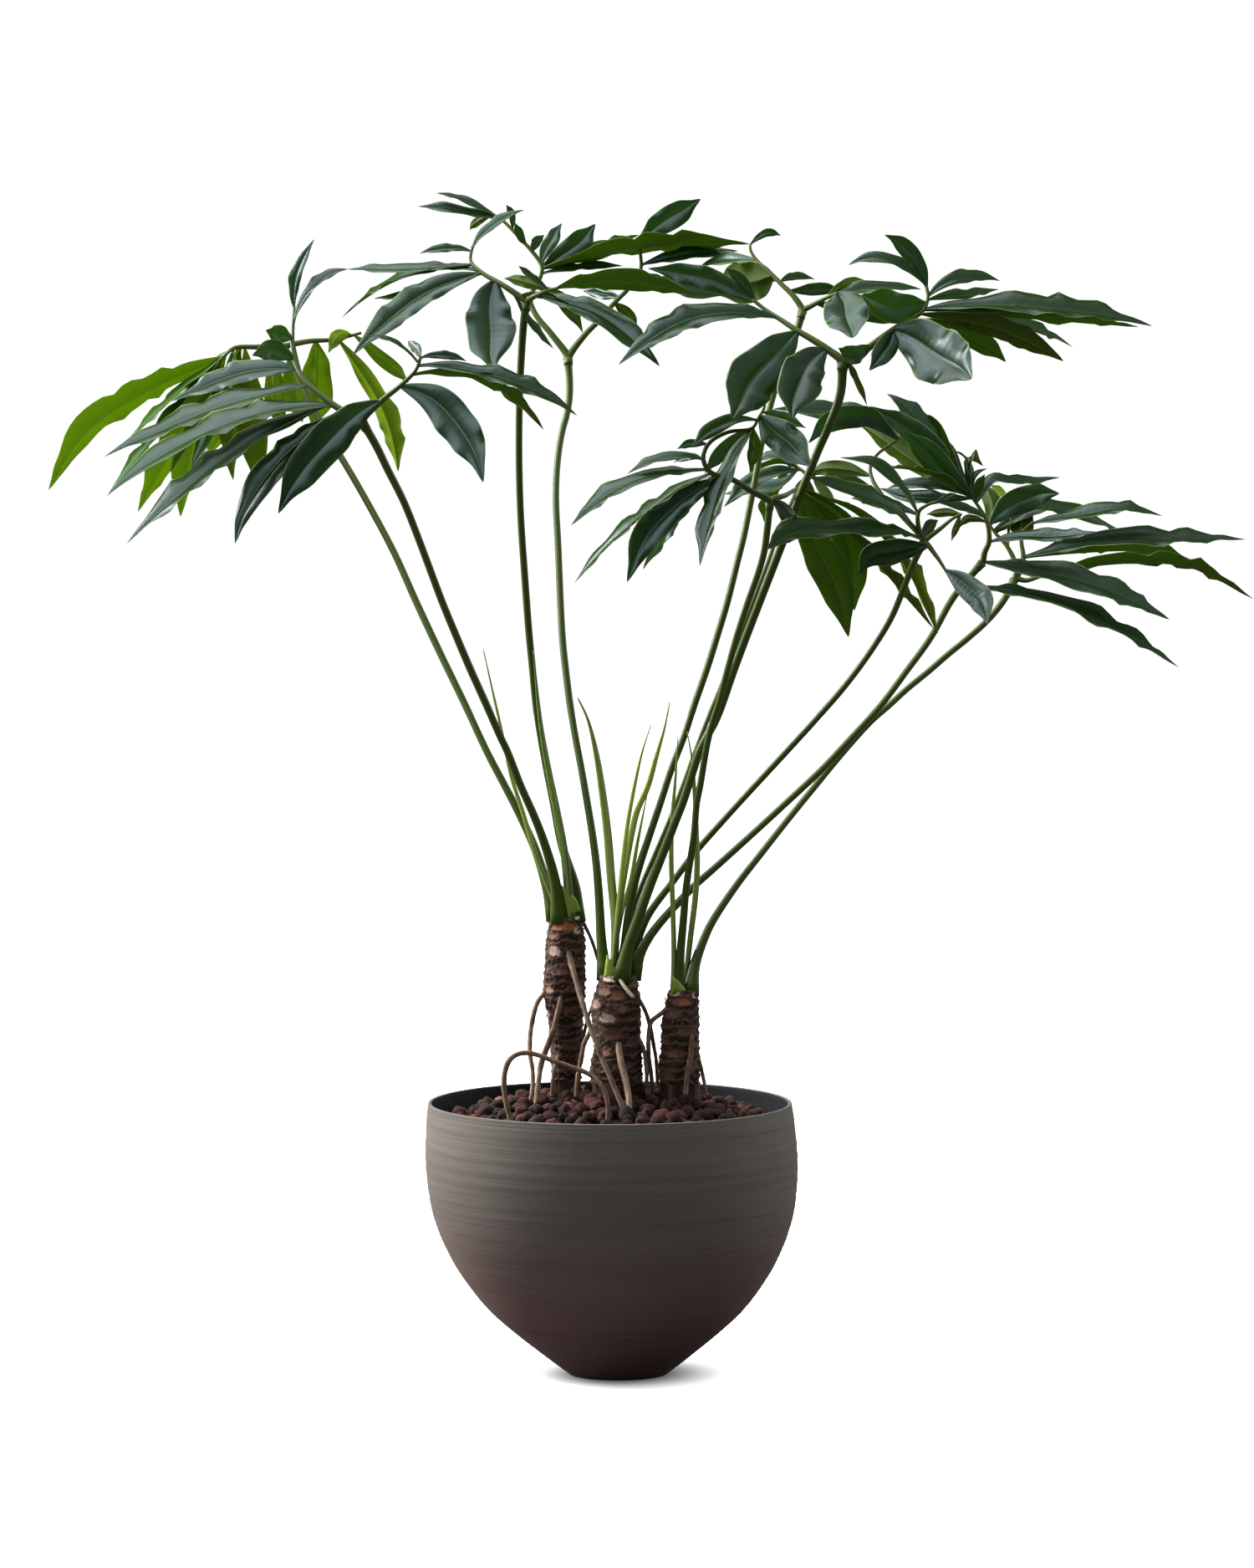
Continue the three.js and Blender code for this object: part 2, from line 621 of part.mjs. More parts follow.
// Left, in front: a fan of long dark leaflets that droop to the left, and two that point right
FRONDS.frond_02 = {
  on: 'trunk_left',
  stem: [[669, 1094], [663, 1050], [650, 1005], [638.5, 975], [623, 940], [607.5, 900], [598, 880],
    [580.5, 840], [562.5, 800], [545.5, 760], [529, 720], [514, 680], [499, 640], [483, 600], [463, 560],
    [451, 535], [439, 514], [433, 505]],
  deep: [2, -24, -60, -105, -150],
  radius: { foot: 4.5, shaft: 3.1 },
  ribs: [
    { at: [[433, 505], [400, 485], [365, 455], [352, 430], [350, 400], [352, 368]], deep: [0, 20, 60] },
    { at: [[433, 505], [458, 478], [478, 462], [497, 443], [503, 428]], deep: [0, -15, -20] },
  ],
  leaflets: [
    leaflet([455, 477], [388, 530], [333, 614], 46, TOP),
    leaflet([408, 490], [[330, 552], [294, 606]], [281, 650], 32, TOP),
    leaflet([395, 485], [262, 548], [152, 650], 24, TOP),
    leaflet([400, 485], [258, 506], [128, 593], 24, TOP, -40),
    leaflet([367, 460], [248, 488], [125, 546], 22, TOP, 25),
    leaflet([357, 443], [286, 446], [205, 480], 26, TOP, 40),
    leaflet([352, 428], [328, 419], [302, 425], 24, TOP, -30),
    leaflet([350, 405], [335, 400], [318, 395], 20, TOP),
    leaflet([352, 368], [354, 329], [376, 286], 15, TOP),
    leaflet([352, 385], [375, 339], [416, 322], 11, TOP),
    leaflet([477, 463], [541, 498], [578, 577], 44, TOP, -40),
    leaflet([500, 438], [602, 449], [690, 497], 18, TOP, -15),
    leaflet([492, 448], [584, 455], [650, 514], 14, UNDER, 12),
    leaflet([503, 428], [530, 424], [558, 432], 10, TOP),
    leaflet([500, 432], [472, 408], [440, 402], 4, TOP),
    leaflet([503, 426], [497, 416], [488, 408], 12, TOP, 20),
  ],
};

// Top left, over the left trunk
FRONDS.frond_03 = {
  on: 'trunk_left',
  stem: [[690, 1094], [688, 1062], [672, 1010], [662, 960], [652, 910], [642, 850], [636, 790],
    [633, 760], [627, 680], [623, 620], [621, 560], [621, 500], [622, 460], [624, 420], [627, 380],
    [630, 362]],
  deep: [11, 8, -8, -32, -60],
  radius: { foot: 4.2, shaft: 2.9 },
  ribs: [
    { at: [[630, 362], [615, 350], [600, 340], [575, 325], [563, 312], [565, 295]], deep: [0, 10, 30] },
    { at: [[630, 362], [648, 350], [668, 344]], deep: [0, -15, -25] },
  ],
  leaflets: [
    leaflet([575, 328], [493, 359], [422, 425], 31, TOP, -25),
    leaflet([565, 316], [489, 319], [415, 322], 11, TOP, 10),
    leaflet([570, 326], [484, 327], [409, 380], 9, TOP, 55),
    leaflet([563, 300], [534, 296], [502, 303], 10, TOP),
    leaflet([565, 297], [588, 268], [627, 251], 11, TOP),
    leaflet([590, 335], [585, 388], [590, 440], 58, TOP, -45),
    leaflet([612, 352], [636, 385], [662, 417], 8, TOP),
    leaflet([575, 328], [505, 346], [447, 357], 11, TOP, 30),
    leaflet([655, 345], [629, 337], [603, 333], 14, UNDER, 20),
    leaflet([655, 340], [636, 330], [620, 318], 8, TOP),
    leaflet([640, 352], [720, 377], [789, 438], 27, TOP, -45),
    leaflet([622, 352], [660, 356], [699, 378], 9, UNDER, -25),
    leaflet([665, 344], [742, 334], [835, 353], 24, UNDER, -30),
  ],
};

// Top middle, behind: it forks wide below the crown and its ribs curl up and back
FRONDS.frond_04 = {
  on: 'trunk_middle',
  stem: [[723, 1163], [719, 1120], [717, 1080], [714, 1040], [709, 1000], [702.5, 960], [695.5, 920],
    [688, 880], [681.5, 840], [676.5, 800], [672.5, 760], [667.5, 650], [665, 600], [665.5, 570],
    [668.5, 538], [673, 513], [677.5, 497], [681, 475], [681, 450], [679, 428]],
  deep: [-17, 0, 40, 90, 140],
  radius: { foot: 4, shaft: 2.9 },
  ribs: [
    { at: [[680, 428], [660, 400], [640, 375], [634, 355], [645, 335], [648, 318], [636, 300], [622, 285],
      [610, 272], [598, 261], [585, 254]], deep: [0, 10, 25, 35, 45] },
    { at: [[680, 428], [700, 400], [720, 380], [735, 362], [752, 345], [766, 325], [766, 303], [762, 284]],
      deep: [0, 8, 14, 20] },
  ],
  leaflets: [
    leaflet([648, 320], [778, 291], [897, 292], 22, UNDER, -25),
    leaflet([648, 318], [712, 298], [764, 281], 16, UNDER, 60),
    leaflet([764, 288], [798, 263], [838, 238], 31, TOP, -10),
    leaflet([648, 330], [697, 318], [745, 318], 10, TOP),
    leaflet([766, 318], [820, 303], [883, 300], 16, TOP),
    leaflet([648, 314], [657, 291], [672, 267], 18, TOP, 25),
    leaflet([650, 322], [684, 297], [712, 268], 30, TOP, 10),
    leaflet([636, 300], [641, 290], [651, 281], 12, TOP),
    leaflet([600, 265], [549, 250], [500, 247], 13, TOP),
    leaflet([596, 262], [557, 239], [522, 231], 8, TOP),
    leaflet([615, 275], [612, 257], [605, 245], 9, TOP),
    leaflet([629, 295], [622, 281], [616, 266], 11, TOP),
    leaflet([590, 258], [572, 264], [562, 275], 11, UNDER, 25),
    leaflet([640, 340], [675, 362], [697, 398], 18, UNDER),
    leaflet([735, 362], [750, 376], [762, 393], 16, UNDER),
    leaflet([766, 325], [812, 343], [865, 353], 20, TOP, 50),
    leaflet([742, 355], [720, 351], [697, 348], 14, TOP, 35),
  ],
};

// Top right, in front: the tallest and stoutest stalk, with broad leaflets and a long one to the right
FRONDS.frond_05 = {
  on: 'trunk_middle',
  stem: [[743.5, 1167], [752, 1130], [764, 1096], [777, 1060], [793, 1020], [808.5, 980], [816.5, 960],
    [829.5, 920], [836, 900], [846, 880], [856.5, 860], [878, 800], [893, 760], [908.5, 720], [928, 670],
    [939.5, 640], [954, 600], [970, 560], [981.5, 532], [991, 511], [1005.5, 470], [1008, 433]],
  deep: [-28.5, -36, -52, -85, -125],
  radius: { foot: 4.7, shaft: 3.4 },
  ribs: [
    { at: [[1008, 433], [990, 418], [970, 405], [953, 395], [935, 383], [915, 370], [900, 358]],
      deep: [0, 12, 32] },
    { at: [[1008, 433], [1025, 427], [1040, 415], [1060, 400], [1075, 390], [1090, 382], [1105, 370],
      [1110, 355], [1108, 342]], deep: [0, 8, 30, 45] },
  ],
  leaflets: [
    leaflet([932, 381], [833, 377], [740, 436], 27, TOP, -30),
    leaflet([955, 396], [908, 446], [876, 501], 60, TOP),
    leaflet([988, 416], [958, 450], [948, 500], 52, TOP),
    leaflet([1068, 395], [1061, 415], [1040, 443], 26, TOP, -35),
    leaflet([1046, 412], [1022, 424], [1003, 416], 22, TOP, -40),
    leaflet([1068, 394], [1118, 420], [1162, 453], 68, TOP),
    leaflet([1106, 362], [1068, 366], [1031, 352], 38, TOP, -35),
    leaflet([1106, 372], [1243, 362], [1378, 390], 24, TOP, -10),
    leaflet([1108, 372], [1240, 376], [1362, 391], 12, UNDER, 20),
    leaflet([1100, 375], [1197, 393], [1272, 432], 26, UNDER),
    leaflet([1106, 370], [1203, 378], [1283, 415], 20, TOP, 60),
    leaflet([1092, 381], [1160, 402], [1203, 433], 24, UNDER, 25),
    leaflet([1108, 345], [1091, 304], [1058, 281], 20, TOP),
    leaflet([1108, 343], [1063, 308], [1015, 317], 14, TOP),
    leaflet([1110, 353], [1150, 330], [1196, 336], 16, TOP, 30),
    leaflet([1110, 360], [1150, 351], [1195, 346], 12, TOP, 45),
    leaflet([902, 360], [845, 334], [775, 321], 28, TOP, 15),
    leaflet([902, 359], [888, 337], [868, 321], 14, TOP),
    leaflet([1010, 432], [1024, 452], [1037, 485], 8, UNDER),
  ],
};

// Top right, behind the stout one
FRONDS.frond_06 = {
  on: 'trunk_middle',
  stem: [[744.5, 1165], [748, 1130], [751, 1100], [756, 1070], [763.5, 1040], [776.5, 1000], [790, 960],
    [803, 920], [818.5, 880], [831.5, 840], [845.5, 800], [858, 760], [870, 720], [882.5, 670],
    [890, 640], [898, 600], [903, 575], [912, 525], [921, 487], [935, 440], [952, 400], [960, 372]],
  deep: [-18, -10, 8, 40, 80],
  radius: { foot: 3.7, shaft: 2.8 },
  ribs: [
    { at: [[960, 372], [950, 355], [935, 340], [920, 325], [905, 311], [898, 300], [897, 293]],
      deep: [0, 12, 28] },
    { at: [[960, 372], [970, 366], [985, 358], [1002, 350]], deep: [0, -5, -12] },
  ],
  leaflets: [
    leaflet([926, 330], [895, 337], [856, 350], 52, UNDER, 30),
    leaflet([897, 294], [916, 279], [934, 282], 10, TOP),
    leaflet([944, 348], [976, 346], [1004, 344], 16, TOP, 10),
    leaflet([1002, 350], [1012, 370], [1020, 404], 56, TOP, -40),
    leaflet([985, 358], [1044, 342], [1102, 346], 14, TOP, 20),
    leaflet([990, 356], [1012, 340], [1036, 336], 14, UNDER, 30),
    leaflet([975, 364], [1030, 372], [1085, 385], 24, TOP, 10),
    leaflet([931, 338], [950, 330], [975, 334], 10, TOP, 20),
    leaflet([931, 336], [917, 333], [903, 343], 13, TOP, 15),
    leaflet([905, 312], [866, 309], [838, 318], 14, TOP, 50),
  ],
};

// Middle, in front: its left rib winds up and over, and one very broad leaflet hangs on the right
FRONDS.frond_07 = {
  on: 'trunk_right',
  stem: [[811.5, 1184], [814, 1140], [817.5, 1100], [821, 1060], [830, 1000], [833.5, 960], [837.5, 940],
    [844, 900], [848, 880], [853.5, 860], [860, 840], [870.5, 800], [881.5, 760], [894.5, 720],
    [907, 685], [914, 660], [917.5, 635], [921, 600]],
  deep: [-18, -34, -62, -85, -105],
  radius: { foot: 3.5, shaft: 2.7 },
  ribs: [
    { at: [[921, 600], [900, 588], [875, 573], [850, 565], [841, 548], [848, 530], [870, 517], [900, 512],
      [907, 500], [914, 488], [915, 476]], deep: [0, -20, -30, -22, -5] },
    { at: [[921, 600], [940, 592], [952, 585], [962, 583]], deep: [0, 20, 55] },
  ],
  leaflets: [
    leaflet([848, 560], [[770, 568], [722, 592]], [683, 628], 15, TOP, -20),
    leaflet([842, 548], [796, 545], [750, 567], 10, TOP),
    leaflet([850, 565], [[800, 590], [727, 647]], [687, 697], 10, TOP, 45),
    leaflet([865, 570], [[814, 598], [775, 638]], [750, 696], 34, TOP),
    leaflet([858, 568], [806, 618], [769, 681], 20, TOP, 65),
    leaflet([900, 512], [[877, 545], [844, 628]], [837, 677], 22, TOP, -30),
    leaflet([893, 514], [868, 536], [843, 566], 18, TOP, 30),
    leaflet([907, 500], [[880, 500], [850, 514]], [828, 534], 16, TOP, -35),
    leaflet([846, 532], [828, 530], [810, 537], 10, TOP),
    leaflet([841, 552], [824, 546], [806, 553], 9, TOP, 20),
    leaflet([908, 500], [937, 525], [970, 557], 40, TOP, -35),
    leaflet([902, 510], [902, 536], [897, 564], 15, UNDER),
    leaflet([912, 492], [938, 499], [964, 512], 12, TOP, 30),
    leaflet([957, 585], [[972, 640], [998, 692]], [1015, 762], 44, UNDER, 25),
    leaflet([961, 583], [[1006, 634], [1021, 690]], [1022, 730], 40, UNDER, 50),
    leaflet([925, 599], [941, 614], [955, 640], 18, TOP, -8),
    leaflet([956, 586], [[1014, 629], [1070, 690]], [1118, 753], 12, UNDER, 60),
    leaflet([960, 583], [[1028, 611], [1088, 675]], [1122, 758], 10, UNDER, 80),
  ],
};

// Right of the middle, low: one long leaflet of it points left across the stalks of its neighbours
FRONDS.frond_08 = {
  on: 'trunk_middle',
  stem: [[750, 1163], [766, 1115], [775, 1095], [785, 1080], [800.5, 1060], [831, 1020], [868, 978],
    [904.5, 938], [941.5, 898], [978, 858], [1012.5, 818], [1042, 778], [1066.5, 738], [1083, 698],
    [1092, 675], [1105, 648]],
  deep: [-7, 8, -5, -30, -60],
  radius: { foot: 3.5, shaft: 2.6 },
  ribs: [
    { at: [[1105, 648], [1080, 618], [1060, 598], [1050, 585], [1043, 572], [1041, 558], [1048, 545],
      [1060, 535], [1075, 526]], deep: [0, 10, 22, 38, 50] },
    { at: [[1105, 648], [1099, 632], [1099, 612], [1109, 604], [1121, 600]], deep: [0, -2, -4] },
    { at: [[1105, 648], [1125, 632], [1140, 620], [1150, 615]], deep: [0, 4, 12] },
    { at: [[1105, 648], [1120, 665], [1133, 685]], deep: [0, -6, -12] },
  ],
  leaflets: [
    leaflet([1103, 645], [[1065, 632], [957, 633]], [917, 657], 23, TOP, -100),
    leaflet([1108, 655], [[1078, 658], [1044, 664]], [1027, 686], 31, TOP),
    leaflet([1131, 682], [[1150, 695], [1172, 714]], [1181, 746], 31, TOP, -45),
    leaflet([1099, 640], [[1076, 612], [1030, 588]], [965, 570], 18, TOP, -55),
    leaflet([1099, 614], [[1078, 579], [1046, 553]], [1005, 547], 12, TOP, 5),
    leaflet([1099, 616], [1058, 601], [1018, 596], 14, TOP, 20),
    leaflet([1041, 570], [[1020, 563], [992, 559]], [967, 565], 19, UNDER, 30),
    leaflet([1148, 614], [1144, 630], [1138, 647], 8, UNDER),
    leaflet([1106, 642], [1111, 630], [1122, 622], 14, TOP, 10),
    leaflet([1120, 601], [1132, 595], [1143, 590], 8, TOP),
    leaflet([1150, 614], [1130, 613], [1108, 615], 11, UNDER, 15),
    leaflet([1075, 526], [[1034, 496], [970, 489]], [925, 489], 22, TOP),
    leaflet([1075, 526], [[1036, 498], [992, 505]], [967, 530], 28, TOP, -25),
  ],
};

// Right: its rib turns back up to a tuft, and two long leaflets point out to the right
FRONDS.frond_09 = {
  on: 'trunk_middle',
  stem: [[759, 1166], [765, 1142], [775, 1123], [790, 1103], [808, 1083], [830, 1060], [852.5, 1040],
    [897, 1000], [940.5, 960], [983, 920], [1020.5, 880], [1054, 843], [1084, 803], [1113, 763],
    [1135, 723], [1145, 708], [1160, 690], [1175, 673]],
  deep: [-15, 12, 40, 72, 100],
  radius: { foot: 3.8, shaft: 2.8 },
  ribs: [
    { at: [[1175, 673], [1178, 660], [1183, 648], [1181, 625], [1170, 605], [1160, 592]],
      deep: [0, -2, 0, 6] },
  ],
  leaflets: [
    leaflet([1177, 673], [[1243, 681], [1322, 700]], [1399, 741], 28, TOP, -30),
    leaflet([1154, 700], [[1232, 709], [1328, 743]], [1410, 798], 17, TOP, -45),
    leaflet([1183, 648], [[1220, 640], [1270, 639]], [1313, 636], 15, TOP, -25),
    leaflet([1162, 596], [1121, 554], [1080, 515], 31, TOP, -40),
    leaflet([1160, 593], [1108, 530], [1041, 486], 30, TOP, -5),
    leaflet([1161, 593], [1107, 509], [1061, 471], 23, TOP, 30),
    leaflet([1163, 596], [1136, 548], [1114, 508], 20, TOP, 25),
    leaflet([1162, 595], [[1136, 550], [1119, 508]], [1089, 499], 15, UNDER, 35),
    leaflet([1158, 592], [1090, 545], [1022, 502], 30, UNDER, 65),
    leaflet([1159, 593], [[1125, 569], [1088, 558]], [1054, 559], 5, UNDER, -60),
    leaflet([1160, 594], [1110, 577], [1062, 584], 15, TOP, 10),
    leaflet([1162, 597], [1105, 594], [1052, 584], 17, TOP, 30),
    leaflet([1179, 622], [1158, 608], [1124, 602], 10, TOP, -20),
    leaflet([1180, 626], [1160, 620], [1148, 631], 10, UNDER, 10),
    leaflet([1164, 598], [1159, 585], [1158, 568], 15, UNDER),
    leaflet([1166, 600], [1170, 583], [1178, 567], 12, UNDER, -15),
    leaflet([1165, 598], [[1162, 578], [1169, 565]], [1181, 560], 7, TOP, 10),
    leaflet([1163, 596], [[1162, 566], [1155, 546]], [1140, 538], 5, TOP, 25),
    leaflet([1163, 597], [[1157, 560], [1162, 544]], [1176, 557], 6, TOP, 30),
    leaflet([1168, 602], [[1188, 572], [1226, 574]], [1268, 571], 12, TOP, 20),
  ],
};

// Far right, behind: it leaves the right trunk low and spreads widest
FRONDS.frond_10 = {
  on: 'trunk_right',
  stem: [[827, 1184], [831, 1155], [842, 1123], [851.5, 1103], [880, 1060], [911, 1020], [942.5, 980],
    [975, 940], [1008, 900], [1041.5, 863], [1064, 843], [1086, 823], [1110.5, 803], [1133.5, 783],
    [1158, 763], [1180, 743], [1197, 723], [1208, 705], [1213, 693]],
  deep: [-16, 22, 75, 130, 180],
  radius: { foot: 4, shaft: 2.8 },
  ribs: [
    { at: [[1213, 693], [1216, 681], [1212, 667], [1203, 651], [1191, 638], [1182, 625]],
      deep: [0, 8, 14] },
    { at: [[1215, 693], [1224, 668], [1222, 650], [1222, 638], [1236, 624]], deep: [0, 8, 18] },
    { at: [[1215, 693], [1228, 694], [1242, 690], [1258, 685]], deep: [0, -4, -12] },
  ],
  leaflets: [
    leaflet([1245, 690], [[1320, 671], [1425, 674]], [1499, 716], 17, UNDER, -10),
    leaflet([1225, 667], [[1300, 647], [1395, 640]], [1490, 645], 20, TOP, 10),
    leaflet([1236, 626], [[1285, 615], [1345, 605]], [1390, 617], 15, TOP, 0),
    leaflet([1190, 634], [[1240, 604], [1295, 614]], [1345, 638], 21, TOP, 65),
    leaflet([1226, 667], [[1290, 657], [1360, 654]], [1430, 672], 14, UNDER, 80),
    leaflet([1184, 626], [[1207, 606], [1238, 592]], [1267, 590], 34, TOP, -30),
    leaflet([1186, 628], [1186, 602], [1176, 578], 22, UNDER, 20),
    leaflet([1192, 637], [1198, 630], [1209, 627], 10, TOP, 15),
    leaflet([1222, 645], [1221, 625], [1222, 600], 34, UNDER, 25),
    leaflet([1205, 655], [1204, 605], [1184, 580], 5, UNDER, 60),
  ],
};

// Middle, far behind: a thin stalk with a small tuft
FRONDS.frond_11 = {
  on: 'trunk_middle',
  stem: [[740.5, 1160], [750, 1110], [767, 1060], [784, 1020], [801, 980], [816.5, 940], [831, 900],
    [846.5, 860], [863, 820], [879, 780], [893, 740], [908, 700], [919.5, 670], [928, 645], [937, 622],
    [947, 602], [955, 585], [965, 570]],
  deep: [-6, 14, 50, 90, 130],
  radius: { foot: 2.3, shaft: 1.9 },
  ribs: [
    { at: [[965, 570], [956, 560], [942, 556]], deep: [0, 6, 14] },
    { at: [[965, 570], [982, 566], [1000, 572]], deep: [0, 2, 8] },
  ],
  leaflets: [
    leaflet([958, 562], [[930, 563], [897, 576]], [866, 606], 18, TOP, -20),
    leaflet([955, 562], [[933, 578], [900, 584]], [866, 591], 14, TOP, 25),
    leaflet([956, 560], [[937, 547], [917, 545]], [900, 557], 10, TOP, 20),
    leaflet([957, 561], [[935, 551], [912, 556]], [890, 572], 8, UNDER, 5),
    leaflet([966, 571], [961, 600], [961, 646], 33, UNDER),
    leaflet([972, 569], [986, 588], [1001, 613], 13, UNDER, -20),
    leaflet([945, 557], [[930, 578], [919, 597]], [914, 624], 18, UNDER, 60),
    leaflet([975, 568], [1015, 571], [1054, 592], 9, TOP, 20),
  ],
};

for (const [name, frond] of Object.entries(FRONDS)) addPiece(name, frondGeometry(frond), leafGreen);

// Young leaves still rolled up in their sheaths: slim spikes that stand among the stalks.
// radii run from the foot to the tip
const SPIKES = {
  spike_left_back: {
    on: 'trunk_left',
    at: [[668.5, 1094], [655, 1060], [640, 1020], [625, 970], [612, 930], [598, 865], [590, 830],
      [578, 776]],
    deep: [10, 10, 8, 6],
    radii: [2.1, 2, 1.7, 1.2, 0.4],
  },
  spike_left_front: {
    on: 'trunk_left',
    at: [[683, 1094], [680, 1065], [675, 1020], [666, 970], [656, 920], [646, 860], [638, 778]],
    deep: [1, -3, -8, -14],
    radii: [3.6, 3.4, 2.8, 1.8, 0.5],
  },
  spike_middle_left: {
    on: 'trunk_middle',
    at: [[734, 1165], [736, 1110], [731, 1050], [727, 1000], [721, 950], [713, 900], [703, 860], [691, 834]],
    deep: [-20, -20, -20, -21],
    radii: [3.2, 3.5, 3.4, 2.6, 0.6],
  },
  spike_middle_pale: {
    on: 'trunk_middle',
    at: [[732, 1167], [736, 1120], [740, 1080], [745, 1030], [750, 990], [758, 945], [768, 900], [779, 866]],
    deep: [-28, -27, -26, -25],
    radii: [2, 1.9, 1.8, 1.5, 0.4],
  },
  spike_middle_tall: {
    on: 'trunk_middle',
    at: [[734, 1163], [742, 1080], [748, 1040], [755, 1000], [762, 970], [775, 940], [785, 905], [795, 870],
      [801, 840]],
    deep: [-12.5, -12, -12, -12],
    radii: [2.1, 2.2, 2.6, 2.2, 0.4],
  },
  spike_middle_short: {
    on: 'trunk_middle',
    at: [[731, 1160], [744, 1090], [755, 1050], [762, 1010], [768, 980], [775, 945]],
    deep: [-6.5, -4, -3, -3],
    radii: [1.8, 1.8, 1.6, 0.4],
  },
  spike_right_left: {
    on: 'trunk_right',
    at: [[804.5, 1186], [806, 1150], [805, 1090], [803, 1030], [804, 980], [808, 930], [811, 881]],
    deep: [-20.5, -21, -20, -19],
    radii: [2, 2.1, 2, 1.5, 0.4],
  },
  spike_right_back: {
    on: 'trunk_right',
    at: [[819, 1182], [826, 1120], [832, 1070], [834, 1030], [833, 1000], [831, 950], [828, 910],
      [822, 875]],
    deep: [-9.5, -10, -11, -13],
    radii: [2.2, 2.4, 2.4, 1.8, 0.4],
  },
};
const SPIKE_SIDES = 5;
const SPIKE_STEPS = 6;

for (const [name, spike] of Object.entries(SPIKES)) {
  const curve = new THREE.CatmullRomCurve3(traced(spike.at, spike.deep, spike.on));
  const geometry = stalk(curve, spike.radii, SPIKE_SIDES, SPIKE_STEPS, true);
  addPiece(name, geometryOf(solidOf(geometry)), spikeGreen);
}

export default object;
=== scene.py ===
import math

import bmesh
import bpy
import numpy as np
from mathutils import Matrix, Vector, noise


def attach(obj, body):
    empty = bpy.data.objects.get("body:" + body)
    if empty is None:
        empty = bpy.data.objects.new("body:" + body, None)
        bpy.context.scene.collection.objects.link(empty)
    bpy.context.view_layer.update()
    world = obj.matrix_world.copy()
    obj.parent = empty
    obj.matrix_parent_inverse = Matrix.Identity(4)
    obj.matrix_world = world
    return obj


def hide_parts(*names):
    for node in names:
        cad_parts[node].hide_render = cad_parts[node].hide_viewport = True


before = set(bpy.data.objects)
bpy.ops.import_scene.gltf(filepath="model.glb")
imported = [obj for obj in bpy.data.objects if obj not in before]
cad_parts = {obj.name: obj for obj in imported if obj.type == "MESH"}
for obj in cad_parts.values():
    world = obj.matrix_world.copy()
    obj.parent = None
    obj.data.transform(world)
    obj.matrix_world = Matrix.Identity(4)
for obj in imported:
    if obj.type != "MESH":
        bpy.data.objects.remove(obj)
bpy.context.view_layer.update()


# The eye and the measured places
# The plant is looked at from five metres away, a little above its middle, through a long lens. Each place
# on it is known by where it is seen in the photograph and by its depth, which is its y. Lists hold
# millimetres.
MM = 0.001
PHOTO_WIDTH = 1500
PHOTO_HEIGHT = 1875
EYE = np.array([7.1, -5000.0, 827.0]) * MM
EYE_PITCH = math.radians(4.018)
VIEW_PER_PIXEL = 1.337e-4
PIXEL_SIZE = 0.6726 * MM
FILM_HEIGHT = 36.0

lens = bpy.data.cameras.new("eye")
lens.sensor_fit = "VERTICAL"
lens.sensor_height = FILM_HEIGHT
lens.lens = FILM_HEIGHT / (PHOTO_HEIGHT * VIEW_PER_PIXEL)
eye = bpy.data.objects.new("eye", lens)
eye.location = EYE
eye.rotation_euler = (math.pi / 2 - EYE_PITCH, 0, 0)
bpy.context.scene.collection.objects.link(eye)
bpy.context.scene.camera = eye


def seen(px, py, depth):
    """The real place of a point seen at px, py and lying at that depth in millimetres"""
    across = (px - PHOTO_WIDTH / 2) * VIEW_PER_PIXEL
    up = (PHOTO_HEIGHT / 2 - py) * VIEW_PER_PIXEL
    y = depth * MM
    away = (y - EYE[1]) / (math.cos(EYE_PITCH) + up * math.sin(EYE_PITCH))
    z = EYE[2] + away * (up * math.cos(EYE_PITCH) - math.sin(EYE_PITCH))
    return np.array([EYE[0] + across * away, y, z])


def along(values, t):
    """Value at t, from 0 to 1, on a smooth curve through an evenly spaced list"""
    place = t * (len(values) - 1)
    i = min(int(place), len(values) - 2)
    share = place - i
    here, there = values[i], values[i + 1]
    leave = (there - values[max(i - 1, 0)]) / 2
    arrive = (values[min(i + 2, len(values) - 1)] - here) / 2
    bend = 2 * here - 2 * there + leave + arrive
    swell = -3 * here + 3 * there - 2 * leave - arrive
    return ((bend * share + swell) * share + leave) * share + here


# The studio
# A white ground that runs out of sight, a white surround, and soft lamps that stand behind the plant, above
# and to the left, so that its front is in soft shade and its leaves are lit from above and through. Round
# the pot's foot a soft shadow is painted on the ground.
GROUND_RADIUS = 9.0
GROUND_SIDES = 96
GROUND_SUNK = 0.0004
SHADOW_NEAR = 0.03
SHADOW_FAR = 0.108
SURROUND_FRONT = 0.075
SURROUND_SIDES = [("X", -0.1, -1.0, 0.5), ("X", 0.2, 1.0, 0.2), ("Y", 0.0, 1.0, 0.2), ("Z", 0.1, 1.0, 0.5)]
SURROUND_COLOUR = (0.93, 0.96, 1.0, 1.0)
SEEN_WHITE = 1.05
SHEEN_FROM = (-0.55, -0.5, 0.67)
SHEEN_EDGE = 0.8
SHEEN_MIDDLE = 0.98
SHEEN_STRENGTH = 2.8
LAMPS = {
    "window_left": dict(place=(-2.4, 0.8, 1.7), aim=(0, 0, 0.5), size=1.3, power=175),
    "window_right": dict(place=(2.4, 1.0, 1.2), aim=(0, 0, 0.4), size=1.6, power=22),
    "ceiling": dict(place=(-0.7, 0.5, 2.6), aim=(0, 0, 0.7), size=2.0, power=75),
}


